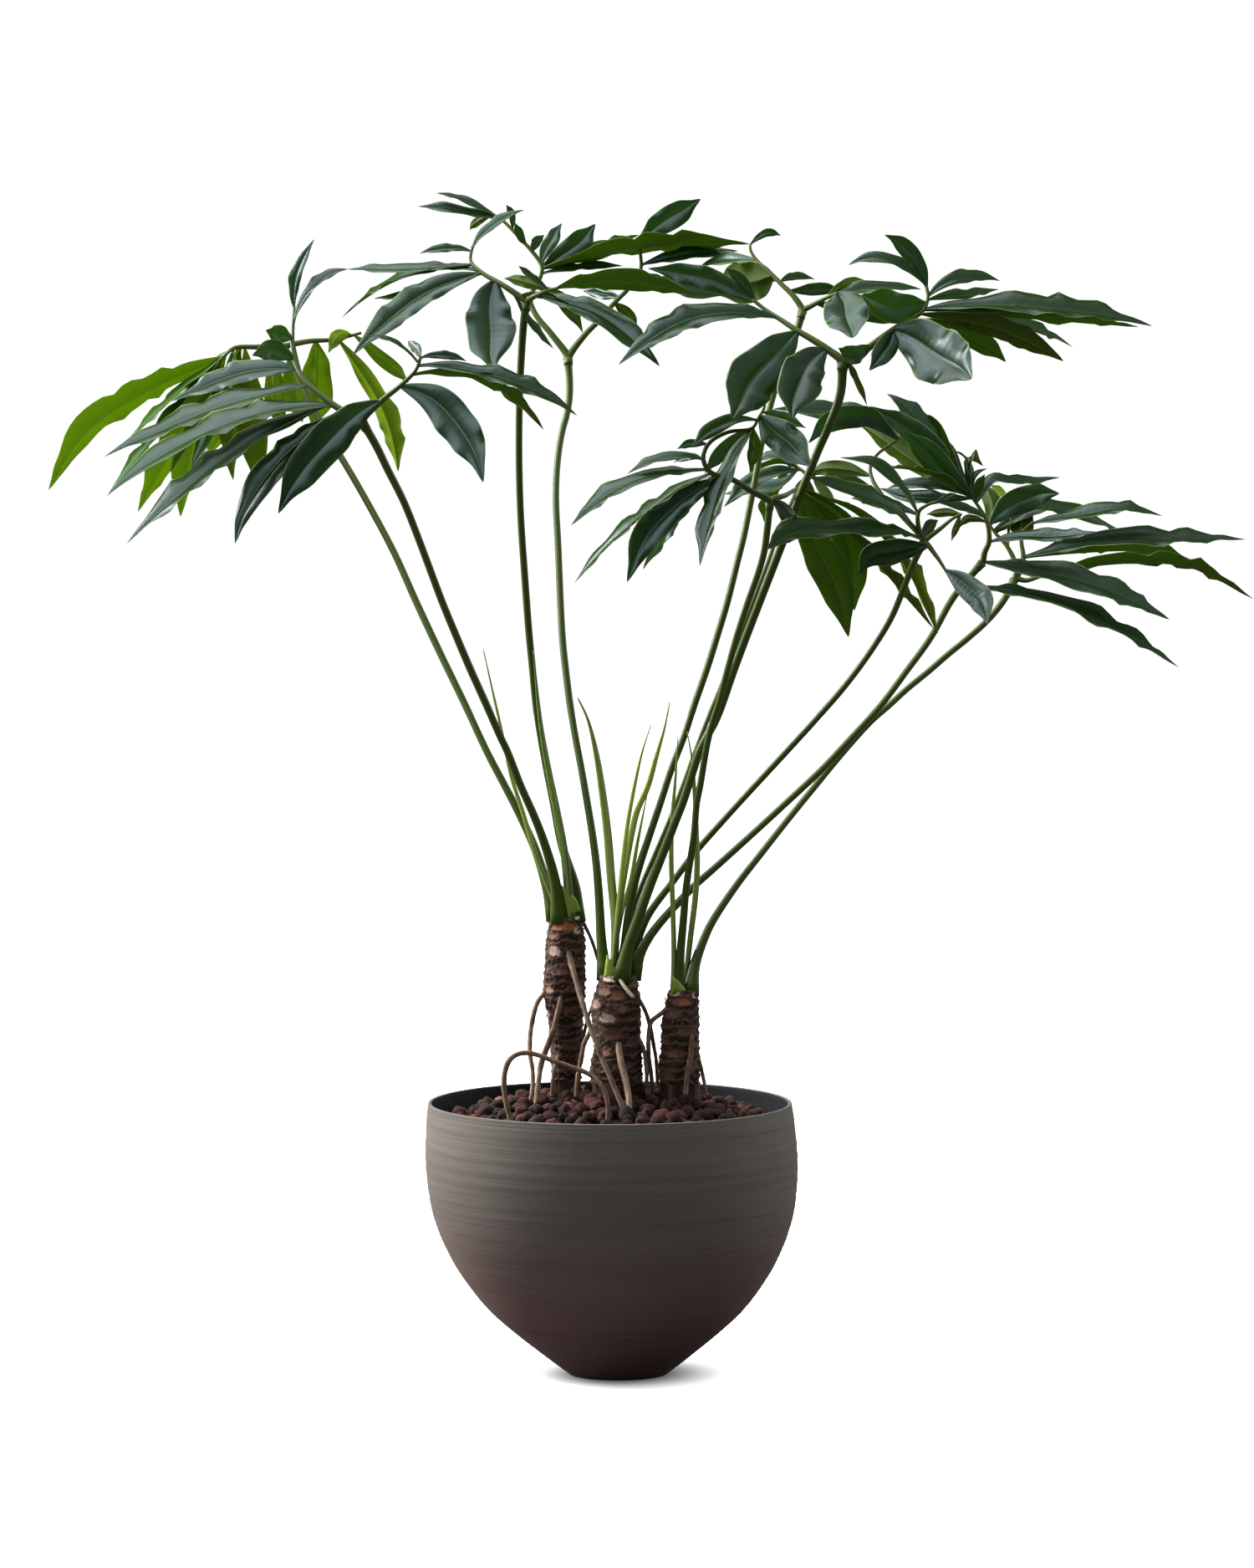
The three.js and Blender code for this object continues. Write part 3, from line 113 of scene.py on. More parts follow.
def node(tree, kind, inputs=None, **settings):
    """A shader node with its settings, its inputs set to values or joined to other nodes' outputs"""
    made = tree.nodes.new(kind if kind.startswith("NodeGroup") else "ShaderNode" + kind)
    for setting, value in settings.items():
        setattr(made, setting, value)
    for key, value in (inputs or {}).items():
        if isinstance(value, bpy.types.NodeSocket):
            tree.links.new(value, made.inputs[key])
        else:
            made.inputs[key].default_value = value
    return made


def maths(tree, operation, first, second=0.0, third=0.0):
    return node(tree, "Math", {0: first, 1: second, 2: third}, operation=operation).outputs[0]


def times(tree, first, second):
    return maths(tree, "MULTIPLY", first, second)


def eased(tree, value, low, high, start=0.0, end=1.0):
    """Value taken smoothly from start to end as it goes from low to high"""
    sockets = {"Value": value, "From Min": low, "From Max": high, "To Min": start, "To Max": end}
    return node(tree, "MapRange", sockets, interpolation_type="SMOOTHSTEP").outputs["Result"]


def mixed(tree, share, first, second):
    return node(tree, "Mix", {0: share, 6: first, 7: second}, data_type="RGBA").outputs[2]


def shade(code):
    """A colour from its six-figure code, as the renderer counts light"""
    parts = [int(code[i:i + 2], 16) / 255 for i in (0, 2, 4)]
    linear = [p / 12.92 if p <= 0.04045 else ((p + 0.055) / 1.055) ** 2.4 for p in parts]
    return (*linear, 1.0)


def grey(level):
    return (level, level, level, 1.0)


def new_finish(name):
    """An empty material, its node tree and its output node"""
    material = bpy.data.materials.new(name)
    material.use_nodes = True
    material.node_tree.nodes.clear()
    return material, material.node_tree, node(material.node_tree, "OutputMaterial")


def by_eye_or_bounce(tree, seen_straight, bounced):
    """Shows the eye one shader, and lights everything else by the other"""
    by_eye = node(tree, "LightPath").outputs["Is Camera Ray"]
    shaders = {0: by_eye, 1: bounced.outputs[0], 2: seen_straight.outputs[0]}
    return node(tree, "MixShader", shaders).outputs[0]


surround = bpy.data.worlds.new("surround")
surround.use_nodes = True
sky = surround.node_tree
sky.nodes.clear()
outward = node(sky, "TexCoord").outputs["Generated"]
direction = node(sky, "SeparateXYZ", {0: outward}).outputs
brightness = SURROUND_FRONT
for axis, dark_at, bright_at, strength in SURROUND_SIDES:
    side = eased(sky, direction[axis], dark_at, bright_at, 0.0, strength)
    brightness = maths(sky, "ADD", side, brightness)
towards = node(sky, "VectorMath", {0: outward, 1: SHEEN_FROM}, operation="DOT_PRODUCT").outputs["Value"]
sheen = times(sky, eased(sky, towards, SHEEN_EDGE, SHEEN_MIDDLE, 0.0, SHEEN_STRENGTH),
              node(sky, "LightPath").outputs["Is Glossy Ray"])
glow = node(sky, "Background", {"Color": SURROUND_COLOUR, "Strength": maths(sky, "ADD", brightness, sheen)})
seen_white = node(sky, "Background", {"Color": grey(1.0), "Strength": SEEN_WHITE})
node(sky, "OutputWorld", {"Surface": by_eye_or_bounce(sky, seen_white, glow)})
bpy.context.scene.world = surround
bpy.context.scene.view_settings.view_transform = "Standard"

ground_finish, tree, out = new_finish("ground_white")
ground_place = node(tree, "TexCoord").outputs["Object"]
reach = node(tree, "VectorMath", {0: ground_place}, operation="LENGTH").outputs["Value"]
matt = {"Roughness": 0.9, "Specular IOR Level": 0.0}
# As the eye sees it the ground glows evenly white, but for a painted shadow round the pot's foot: from
# SHADOW_NEAR to SHADOW_FAR out from the middle its colour and glow rise from dark grey to white.
ground_seen_with_painted_shadow = node(tree, "BsdfPrincipled", matt | {
    "Base Color": mixed(tree, eased(tree, reach, SHADOW_NEAR, SHADOW_FAR), grey(0.25), grey(0.9)),
    "Emission Color": grey(1.0),
    "Emission Strength": eased(tree, reach, SHADOW_NEAR, SHADOW_FAR, 0.05, 1.0),
})
ground_bounce = node(tree, "BsdfPrincipled", matt | {"Base Color": grey(0.12)})
tree.links.new(by_eye_or_bounce(tree, ground_seen_with_painted_shadow, ground_bounce), out.inputs["Surface"])
turns = [2 * math.pi * k / GROUND_SIDES for k in range(GROUND_SIDES)]
ground_mesh = bpy.data.meshes.new("ground")
ground_points = [(GROUND_RADIUS * math.cos(a), GROUND_RADIUS * math.sin(a), -GROUND_SUNK) for a in turns]
ground_mesh.from_pydata(ground_points, [], [list(range(GROUND_SIDES))])
ground_mesh.materials.append(ground_finish)
ground = bpy.data.objects.new("ground", ground_mesh)
bpy.context.scene.collection.objects.link(ground)

for name, lamp in LAMPS.items():
    light = bpy.data.lights.new(name, "AREA")
    light.size = lamp["size"]
    light.energy = lamp["power"]
    stand = bpy.data.objects.new(name, light)
    stand.location = lamp["place"]
    stand.rotation_euler = (Vector(lamp["aim"]) - Vector(lamp["place"])).to_track_quat("-Z", "Y").to_euler()
    bpy.context.scene.collection.objects.link(stand)


# The pot
# A bowl thrown on the wheel in dark stoneware and fired unglazed: a small flat foot, a wall that swells to
# the shoulder and a thin rounded rim. Its fine rings are the potter's finger and tool marks.
POT_HEIGHT = 219.5
POT_LEAN = -6.7
POT_SIDES = 200
FOOT_RADIUS = 40
RIM_RADIUS = 146.3
RIM_THICK = 2.8
RIM_RISE = 0.6
FLOOR_THICK = 9
RING_DEPTH = 0.14
WALL_ROWS = 130
HOLLOW_ROWS = 40
LIP_ROWS = 7
POT_OUTLINE = [
    [41.6, 1.2], [58.6, 14.1], [83.4, 34.2], [105, 54.5], [124.9, 81.4], [138.5, 108.3],
    [146.6, 135.2], [150, 169], [148.4, 203], [RIM_RADIUS, POT_HEIGHT - RIM_RISE],
]
INNER_OUTLINE = [
    [RIM_RADIUS - RIM_THICK, POT_HEIGHT - RIM_RISE], [143.6, 175], [138, 128], [111.8, 75],
    [58, 26], [34, FLOOR_THICK + 0.5],
]


def skin(rings):
    """Points and faces of the skin over a row of rings that turn to the left as they go forward"""
    count, sides = rings.shape[:2]
    start = np.arange(count - 1)[:, None] * sides
    near = start + np.arange(sides)
    far = start + (np.arange(sides) + 1) % sides
    quads = np.stack([near, far, far + sides, near + sides], axis=-1).reshape(-1, 4)
    last = (count - 1) * sides
    ends = [list(range(sides - 1, -1, -1)), list(range(last, last + sides))]
    return rings.reshape(-1, 3), quads.tolist() + ends


def piece(name, points, faces, finishes, finish_of_face=None, marks=None):
    """A mesh of the object, on its body, with the finishes of its faces and the marks its finish reads"""
    mesh = bpy.data.meshes.new(name)
    mesh.from_pydata(np.asarray(points).tolist(), [], faces)
    for material in finishes:
        mesh.materials.append(material)
    if finish_of_face is not None:
        mesh.polygons.foreach_set("material_index", finish_of_face)
    mesh.shade_smooth()
    for mark, values in (marks or {}).items():
        attribute = mesh.attributes.new(mark, "FLOAT", "POINT")
        attribute.data.foreach_set("value", np.asarray(values, dtype=np.float32))
    mesh.update()
    thing = bpy.data.objects.new(name, mesh)
    bpy.context.scene.collection.objects.link(thing)
    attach(thing, "root")
    return thing


def new_group(name, inputs, outputs):
    """A shader node group with its sockets, and the ends of them that its nodes are joined to"""
    group = bpy.data.node_groups.new(name, "ShaderNodeTree")
    for socket, kind in inputs.items():
        group.interface.new_socket(socket, in_out="INPUT", socket_type="NodeSocket" + kind)
    for socket in outputs:
        group.interface.new_socket(socket, in_out="OUTPUT", socket_type="NodeSocketFloat")
    return group, node(group, "NodeGroupInput").outputs, node(group, "NodeGroupOutput").inputs


def grain_group():
    """Noise in two sizes and small round pits, for anything that is rough like clay, bark or stone"""
    group, given, result = new_group("rough_grain", {"Vector": "Vector", "Scale": "Float"},
                                     ["Clouds", "Grain", "Pits"])
    coarse = {"Vector": given["Vector"], "Scale": times(group, given["Scale"], 0.12), "Detail": 4.0}
    fine = {"Vector": given["Vector"], "Scale": given["Scale"], "Detail": 5.0, "Roughness": 0.62}
    cells = {"Vector": given["Vector"], "Scale": times(group, given["Scale"], 1.6)}
    group.links.new(node(group, "TexNoise", coarse).outputs[0], result["Clouds"])
    group.links.new(node(group, "TexNoise", fine).outputs[0], result["Grain"])
    pits = node(group, "TexVoronoi", cells).outputs["Distance"]
    group.links.new(eased(group, pits, 0.12, 0.34, 1.0, 0.0), result["Pits"])
    return group


ROUGH_GRAIN = grain_group()


def rough_grain(tree, vector, scale):
    return node(tree, "Group", {"Vector": vector, "Scale": scale}, node_tree=ROUGH_GRAIN).outputs


def streaks(tree, place, scale, detail=3.0, roughness=0.5):
    """Noise drawn out along the axes whose scale is small"""
    vector = node(tree, "Mapping", {0: place, "Scale": scale}).outputs[0]
    return node(tree, "TexNoise", {"Vector": vector, "Scale": 1.0, "Detail": detail,
                                   "Roughness": roughness}).outputs[0]


def tinted(tree, colour, share, code):
    """A colour with a share of another over it"""
    return mixed(tree, share, colour, shade(code))


def bumped(tree, height, strength, depth):
    return node(tree, "Bump", {"Height": height, "Strength": strength, "Distance": depth * MM}).outputs[0]


def finish(name, recipe):
    """A finish from a recipe, which is given a node tree and a place and gives the surface's inputs"""
    material, tree, out = new_finish(name)
    place = node(tree, "TexCoord").outputs["Object"]
    shader = node(tree, "BsdfPrincipled", recipe(tree, place))
    tree.links.new(shader.outputs[0], out.inputs["Surface"])
    return material


def stoneware(tree, place):
    """Warm grey-brown clay: fine level rings, paler and darker bands, a purplish foot and small pits"""
    lines = streaks(tree, place, (7.0, 7.0, 760.0), 5.0, 0.7)
    bands = streaks(tree, place, (3.0, 3.0, 34.0))
    rough = rough_grain(tree, place, 900.0)
    height = node(tree, "SeparateXYZ", {0: place}).outputs["Z"]
    colour = tinted(tree, shade("6f6860"), eased(tree, bands, 0.32, 0.68), "655d56")
    colour = tinted(tree, colour, eased(tree, height, 0.03, 0.17, 1.0, 0.0), "765a55")
    colour = tinted(tree, colour, eased(tree, lines, 0.34, 0.46, 0.4, 0.0), "463b37")
    colour = tinted(tree, colour, eased(tree, lines, 0.58, 0.75, 0.0, 0.25), "8f8680")
    colour = tinted(tree, colour, times(tree, rough["Pits"], 0.3), "2a2220")
    relief = maths(tree, "MULTIPLY_ADD", lines, 0.8, times(tree, rough["Grain"], 0.5))
    relief = maths(tree, "SUBTRACT", relief, times(tree, rough["Pits"], 0.35))
    return {
        "Base Color": colour, "Normal": bumped(tree, relief, 0.55, 0.5), "Specular IOR Level": 0.3,
        "Roughness": eased(tree, rough["Grain"], 0.2, 0.8, 0.62, 0.86),
    }


def pot_inside(tree, place):
    """The pot's smooth inside, coloured near-black as painted shade in the hollow of the bowl"""
    rough = rough_grain(tree, place, 300.0)
    return {
        # Painted shade: the inside is coloured near black, as the clay lies in shade there
        "Base Color": tinted(tree, shade("0b0c10"), rough["Clouds"], "121318"),
        "Roughness": eased(tree, rough["Grain"], 0.3, 0.7, 0.6, 0.75),
        "Specular IOR Level": 0.2, "Normal": bumped(tree, rough["Grain"], 0.2, 0.4),
    }


def smooth_outline(corners, steps):
    """Places on a smooth curve through the corners of an outline"""
    radii = [corner[0] for corner in corners]
    heights = [corner[1] for corner in corners]
    return [[along(radii, i / steps), along(heights, i / steps)] for i in range(steps + 1)]


def thrown(outline, sides):
    """Points and faces of a shape turned on the wheel, with the pot's slight lean"""
    turn = 2 * np.pi * np.arange(sides) / sides
    rings = []
    for radius, height in outline:
        across = radius * np.cos(turn) + POT_LEAN * height / POT_HEIGHT
        rings.append(np.stack([across, radius * np.sin(turn), np.full(sides, height)], axis=-1) * MM)
    return skin(np.array(rings))


wall = smooth_outline(POT_OUTLINE, WALL_ROWS)
for spot in wall[4:-3]:
    spot[0] += RING_DEPTH * (math.sin(spot[1] * 1.9) + 0.6 * math.sin(spot[1] * 3.1 + 1.0)) - RING_DEPTH
lip_middle = RIM_RADIUS - RIM_THICK / 2
lip = [[lip_middle + RIM_THICK / 2 * math.cos(a), POT_HEIGHT - RIM_RISE + RIM_RISE * math.sin(a)]
       for a in np.linspace(0.3, math.pi - 0.3, LIP_ROWS)]
hollow = smooth_outline(INNER_OUTLINE, HOLLOW_ROWS)
pot_profile = [[FOOT_RADIUS, 0]] + wall + lip + hollow + [[0.5, FLOOR_THICK]]
outside_rows = 1 + len(wall) + len(lip)
inside_rows = len(pot_profile) - 1 - outside_rows
pot_finish_of_face = [0] * (outside_rows * POT_SIDES) + [1] * (inside_rows * POT_SIDES) + [0, 1]
pot_finishes = [finish("stoneware", stoneware), finish("pot_inside", pot_inside)]
pot = piece("stoneware_pot", *thrown(pot_profile, POT_SIDES), pot_finishes, pot_finish_of_face)
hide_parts("pot")


# The trunks' places
# Three stout trunks stand in the growing mix. They are placed here because the stones lie round them: each
# has its seen edges, its depth and its aerial roots, which run down from it into the stones.
BURIED = 34
FIT_GAP = 0.35
TRUNKS = {
    "trunk_left": dict(
        depth=10,
        edges=[[659, 694, 1095], [654, 699, 1120], [652, 700, 1150], [650, 700, 1185], [655, 698, 1215],
               [659, 696, 1255], [660, 695, 1292]],
        scars=[[689, 1094, 14, 12, 1.0], [673, 1107, 27, 10, 0.62], [662, 1118, 14, 9, 0.4],
               [690, 1112, 10, 9, 0.9], [663, 1137, 17, 12, 0.8], [657, 1183, 13, 8, 0.7],
               [656, 1212, 10, 9, 0.75], [684, 1150, 14, 10, 0.3], [668, 1160, 20, 8, 0.35]],
        roots=[
            dict(at=[[655, 1184], [643, 1198], [638, 1215], [634, 1240], [634, 1260], [637, 1280],
                     [637, 1300], [634, 1325]], deep=[8, 2, -4, -12, -22], radius=2),
            dict(at=[[672, 1172], [670, 1200], [664, 1225], [655, 1250], [648, 1270],
                     [644, 1295], [641, 1322]], deep=[-1, -8, -14, -20, -30], radius=2.5),
            dict(at=[[678, 1130], [684, 1155], [690, 1175], [697, 1200], [703, 1220], [712, 1245],
                     [722, 1270], [735, 1300], [748, 1332]], deep=[-1, -22, -40, -50, -60], radius=2.3),
            dict(at=[[696, 1100], [706, 1120], [713, 1140], [718, 1158], [716, 1185],
                     [704, 1215], [696, 1250], [690, 1300]], deep=[10, 14, 18, 16, 12], radius=1.4),
            dict(at=[[670, 1258], [663, 1280], [660, 1312]], deep=[3, -8, -16], radius=1.8),
        ],
    ),
    "trunk_middle": dict(
        depth=-18,
        edges=[[718, 760, 1165], [714, 763, 1180], [707, 766, 1205], [710, 766, 1240], [710, 767, 1258],
               [706, 768, 1280], [708, 768, 1298]],
        scars=[[730, 1169, 20, 8, 0.95], [726, 1216, 21, 12, 0.95], [713, 1200, 15, 11, 0.75],
               [744, 1204, 13, 9, 0.5], [738, 1190, 18, 9, 0.55], [722, 1184, 16, 9, 0.3],
               [731, 1236, 22, 9, 0.35]],
        roots=[
            dict(at=[[739, 1240], [742, 1265], [748, 1290], [752, 1312], [754, 1336]],
                 deep=[-32, -42, -52, -62, -72], radius=2.7),
            dict(at=[[708, 1230], [699, 1247], [696, 1262], [691, 1290], [689, 1312]],
                 deep=[-20, -24, -27, -30, -34], radius=2),
            dict(at=[[760, 1188], [771, 1207], [777, 1225], [781, 1245], [785, 1270], [787, 1305]],
                 deep=[-14, -8, -2, 2, 6], radius=1.7),
            dict(at=[[762, 1238], [770, 1255], [773, 1275], [774, 1308]],
                 deep=[-24, -27, -30, -33], radius=1.8),
        ],
    ),
    "trunk_right": dict(
        depth=-15,
        edges=[[800, 833, 1184], [796, 835, 1200], [792, 836, 1220], [791, 836, 1250], [788, 837, 1275],
               [789, 836, 1296]],
        scars=[[807, 1187, 13, 7, 0.95], [816, 1197, 17, 9, 0.62], [830, 1190, 8, 7, 0.9],
               [804, 1211, 18, 8, 0.25]],
        roots=[
            dict(at=[[797, 1208], [788, 1214], [779, 1222], [776, 1238], [776, 1262],
                     [779, 1285], [781, 1312]], deep=[-17, -19, -21, -23, -25], radius=1.9),
            dict(at=[[828, 1232], [826, 1260], [822, 1285], [820, 1310]],
                 deep=[-26, -31, -35, -39], radius=2.2),
            dict(at=[[833, 1255], [838, 1275], [842, 1292], [845, 1310]],
                 deep=[-16, -19, -22, -26], radius=1.7),
        ],
    ),
}


def trunk_at(trunk, t):
    """Centre and radius of a trunk at t, from its foot in the stones at 0 to its top at 1"""
    edges = trunk["edges"][::-1]
    left, right, height = (along([edge[i] for edge in edges], t) for i in range(3))
    return seen((left + right) / 2, height, trunk["depth"]), (right - left) / 2 * PIXEL_SIZE


def level_on(name):
    """Height of the stalks' feet on a trunk"""
    return trunk_at(TRUNKS[name], 1)[0][2] + FIT_GAP * MM


# The growing mix and the lava stones
# Pitted lava stones, red-brown to near black, lie loose and heaped a little on a dark growing mix that fills
# the pot. The mix is one low mound. The stones are turned and sized by a seeded draw.
GRAVEL_AT_WALL = 199
GRAVEL_RISE = 27
GRAVEL_RADIUS = 139
MIX_SIDES = 96
MIX_SUNK = 5.5
STONE_TRIES = 2600
STONE_SMALL = 4.6
STONE_LARGE = 9.0
STONE_CLOSE = 0.8
STONE_BEDDED = 0.35
UPPER_TRIES = 700
UPPER_SIZE = 0.8
UPPER_SHARE = 0.55
UPPER_LIFT = 6.0


def mound_height(x, y):
    reach = min(math.hypot(x, y) / GRAVEL_RADIUS, 1)
    return GRAVEL_AT_WALL + GRAVEL_RISE * (1 - reach * reach)


def mark_of(tree, name):
    """A number that a piece carries at each of its points"""
    return node(tree, "Attribute", attribute_name=name).outputs["Fac"]


def ramped(tree, share, stops):
    """A colour that runs through the stops' colours as share goes from 0 to 1"""
    ramp = node(tree, "ValToRGB", {0: share})
    for position, _ in stops[1:-1]:
        ramp.color_ramp.elements.new(position)
    for element, (position, code) in zip(ramp.color_ramp.elements, stops):
        element.position = position
        element.color = shade(code)
    return ramp.outputs[0]


def lava(tree, place):
    """Rough lava: each stone its own red-brown or black, dusty on its bumps and dark in its pits"""
    rough = rough_grain(tree, place, 620.0)
    stops = [(0.0, "0f0b0a"), (0.3, "1e1210"), (0.55, "371d18"), (0.78, "4f2822"), (0.93, "6a3b34"),
             (1.0, "a07568")]
    colour = ramped(tree, mark_of(tree, "tone"), stops)
    colour = tinted(tree, colour, eased(tree, rough["Grain"], 0.45, 0.75, 0.0, 0.45), "7d5a4e")
    colour = tinted(tree, colour, times(tree, rough["Pits"], 0.75), "0b0807")
    relief = maths(tree, "SUBTRACT", rough["Grain"], rough["Pits"])
    return {
        "Base Color": colour, "Roughness": 0.92, "Specular IOR Level": 0.25,
        "Normal": bumped(tree, relief, 1.0, 0.9),
    }


def round_stone():
    """Directions and faces of the ball that every stone is made from"""
    ball = bpy.data.meshes.new("ball")
    shell = bmesh.new()
    bmesh.ops.create_icosphere(shell, subdivisions=3, radius=1.0)
    shell.to_mesh(ball)
    shell.free()
    points = np.array([corner.co[:] for corner in ball.vertices])
    faces = [list(face.vertices) for face in ball.polygons]
    bpy.data.meshes.remove(ball)
    return points, faces


def lumpy(points, draw):
    """The ball's points, pushed in and out as a lava stone is"""
    shift = Vector(draw.uniform(0, 50, 3))
    swell = np.array([noise.fractal(Vector(p) * 1.3 + shift, 1.0, 2.0, 4) for p in points])
    return points * (1 + 0.2 * swell[:, None]) * draw.uniform([0.85, 0.8, 0.7], [1.2, 1.05, 0.95])


def turned_over(points, draw):
    """Points turned by a random rotation"""
    spin = Vector(draw.normal(size=3)).normalized()
    turn = np.array(Vector((1, 0, 0)).rotation_difference(spin).to_matrix())
    return points @ turn.T


def dropped(draw, small, large, spread, held_in):
    """A stone's place and size, drawn evenly over the mound and held in from its edge by its own size"""
    size = draw.uniform(small, large)
    reach = math.sqrt(draw.uniform()) * (spread - held_in * size)
    turn = draw.uniform(0, 2 * math.pi)
    return reach * math.cos(turn), reach * math.sin(turn), size


def is_clear(x, y, size, others, closeness):
    return all((x - other[0]) ** 2 + (y - other[1]) ** 2 > (closeness * (size + other[2])) ** 2
               for other in others)


def new_parts(*marks):
    """Lists in which the parts of one piece are gathered, with the marks that its finish reads"""
    return dict(points=[], faces=[], finish=[], marks={mark: [] for mark in marks})


def add_part(parts, points, faces, finish=0, **marks):
    """Adds points, the faces between them, the faces' finish or finishes, and the points' marks"""
    first = sum(len(group) for group in parts["points"])
    parts["points"].append(points)
    parts["faces"] += [[first + corner for corner in face] for face in faces]
    parts["finish"] += np.broadcast_to(finish, len(faces)).tolist()
    for mark, values in parts["marks"].items():
        values.append(np.zeros(len(points)) + marks.get(mark, 0.0))


def joined(name, parts, finishes):
    """The piece that is made of gathered parts"""
    marks = {mark: np.concatenate(values) for mark, values in parts["marks"].items()}
    return piece(name, np.concatenate(parts["points"]), parts["faces"], finishes, parts["finish"], marks)


draw = np.random.default_rng(41)
trunk_feet = [trunk_at(trunk, 0.1) for trunk in TRUNKS.values()]
lean_at_gravel = POT_LEAN * GRAVEL_AT_WALL / POT_HEIGHT
stones = []
for attempt in range(STONE_TRIES):
    x, y, size = dropped(draw, STONE_SMALL, STONE_LARGE, GRAVEL_RADIUS + 2.0, 1)
    if is_clear(x, y, size, stones, STONE_CLOSE):
        stones.append([x, y, size, mound_height(x, y) - size * STONE_BEDDED])
lower_count = len(stones)
for attempt in range(UPPER_TRIES):
    x, y, size = dropped(draw, STONE_SMALL * UPPER_SIZE, STONE_LARGE * UPPER_SIZE, GRAVEL_RADIUS - 8.0, 0)
    if is_clear(x, y, size, stones[lower_count:], 1) and draw.uniform() < UPPER_SHARE:
        stones.append([x, y, size, mound_height(x, y) + UPPER_LIFT * draw.uniform(0.2, 0.6)])

ball, ball_faces = round_stone()
parts = new_parts("tone")
for x, y, size, height in stones:
    under_trunk = any(math.hypot(x + lean_at_gravel - foot[0] / MM, y - foot[1] / MM) < radius / MM - 1.0
                      for foot, radius in trunk_feet)
    if not under_trunk:
        shape = turned_over(lumpy(ball, draw), draw) * size
        shape = shape + [x + lean_at_gravel, y, height]
        add_part(parts, shape * MM, ball_faces, tone=draw.beta(1.6, 1.7))
LAVA = finish("lava_stone", lava)
lava_stones = joined("lava_stones", parts, [LAVA])
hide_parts("gravel")

mix_outline = [(30, 12), (60, 34), (108, 80), (135, 140), (GRAVEL_RADIUS + 2.5, 192)]
mix_outline += [(radius, mound_height(radius, 0) - MIX_SUNK) for radius in (132, 110, 80, 50, 20, 2)]
parts = new_parts("tone")
add_part(parts, *thrown(mix_outline, MIX_SIDES), tone=0.05)
growing_mix = joined("growing_mix", parts, [LAVA])
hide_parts("gravel")


# The trunks and their roots
# Each trunk is a stem of old leaf scars: ragged rings of dry, scaly bark between oval scars, cream, pink or
# orange where a leaf fell lately. Woody aerial roots leave it and run down into the stones.
TRUNK_SIDES = 132
TRUNK_ROW = 0.85
RING_PITCH = 6.6
RING_WOBBLE = 3.4
RING_LIP = 0.9
BARK_ROUGH = 0.85
SCAR_LIP = 0.9
SCAR_SHARE = 0.6
SCARRED_LENGTH = 130
SCAR_PITCH = 3.6
SCARS_APART = 8
SCARS_TURNED_APART = 1.0
FIRST_SCAR = 4
GOLDEN_TURN = math.pi * (3 - math.sqrt(5))
FLAKES = 90
ROOT_SIDES = 12
ROOT_STEPS = 44


def places_at(wanted, steps, line):
    """Places of a line at the wanted steps, from the step of each of its own"""
    return np.stack([np.interp(wanted, steps, line[:, i]) for i in range(3)], axis=-1)


def smooth_line(points, count):
    """Evenly spaced places on a smooth curve through points that are unevenly spaced"""
    points = np.asarray(points, dtype=float)
    before = 2 * points[0] - points[1]
    after = 2 * points[-1] - points[-2]
    held = np.concatenate([[before], points, [after]])
    dense = []
    for i in range(1, len(held) - 2):
        a, b, c, d = held[i - 1:i + 3]
        gap_a, gap_b, gap_c = (max(np.linalg.norm(q - p), 1e-9) ** 0.5 for p, q in ((a, b), (b, c), (c, d)))
        leave = ((b - a) / gap_a - (c - a) / (gap_a + gap_b) + (c - b) / gap_b) * gap_b
        arrive = ((c - b) / gap_b - (d - b) / (gap_b + gap_c) + (d - c) / gap_c) * gap_b
        share = np.linspace(0, 1, 24, endpoint=False)[:, None]
        dense.append((2 * b - 2 * c + leave + arrive) * share ** 3
                     + (-3 * b + 3 * c - 2 * leave - arrive) * share ** 2 + leave * share + b)
    dense = np.concatenate(dense + [[points[-1]]])
    lengths = np.concatenate([[0], np.cumsum(np.linalg.norm(np.diff(dense, axis=0), axis=1))])
    return places_at(np.linspace(0, lengths[-1], count), lengths, dense)


def framed(line):
    """Forward, sideways and third directions at each place of a line, with as little twist as can be"""
    forward = np.gradient(line, axis=0)
    forward /= np.linalg.norm(forward, axis=1)[:, None]
    side = np.array([1.0, 0.0, 0.0])
    sideways = []
    for ahead in forward:
        side = side - ahead * side.dot(ahead)
        side = side / np.linalg.norm(side)
        sideways.append(side)
    return forward, np.array(sideways), np.cross(forward, sideways)


def stalk_rings(line, wide, deep, sides):
    """Rings of a stalk along a line, with its half-widths sideways and in depth at each place"""
    _, sideways, third = framed(line)
    turn = 2 * np.pi * np.arange(sides) / sides
    cosine = np.cos(turn)[None, :, None] * np.asarray(wide).reshape(len(line), -1, 1)
    sine = np.sin(turn)[None, :, None] * np.asarray(deep).reshape(len(line), -1, 1)
    return line[:, None, :] + sideways[:, None, :] * cosine + third[:, None, :] * sine


def shares_along(points):
    """Share of a line's whole length at which each of its points lies"""
    lengths = np.concatenate([[0], np.cumsum(np.linalg.norm(np.diff(points, axis=0), axis=1))])
    return lengths / lengths[-1]


def traced(points, deep, on=None):
    """Real places of a row of seen points, with depths spread along it by length"""
    shares = shares_along(np.array(points, dtype=float))
    places = [seen(px, py, along(deep, share)) for (px, py), share in zip(points, shares)]
    if on:
        places[0][2] = level_on(on)
    return np.array(places)


def root_line(root, count):
    last = len(root["at"]) - 1
    places = [seen(px, py, along(root["deep"], i / last)) for i, (px, py) in enumerate(root["at"])]
    return smooth_line(places, count)


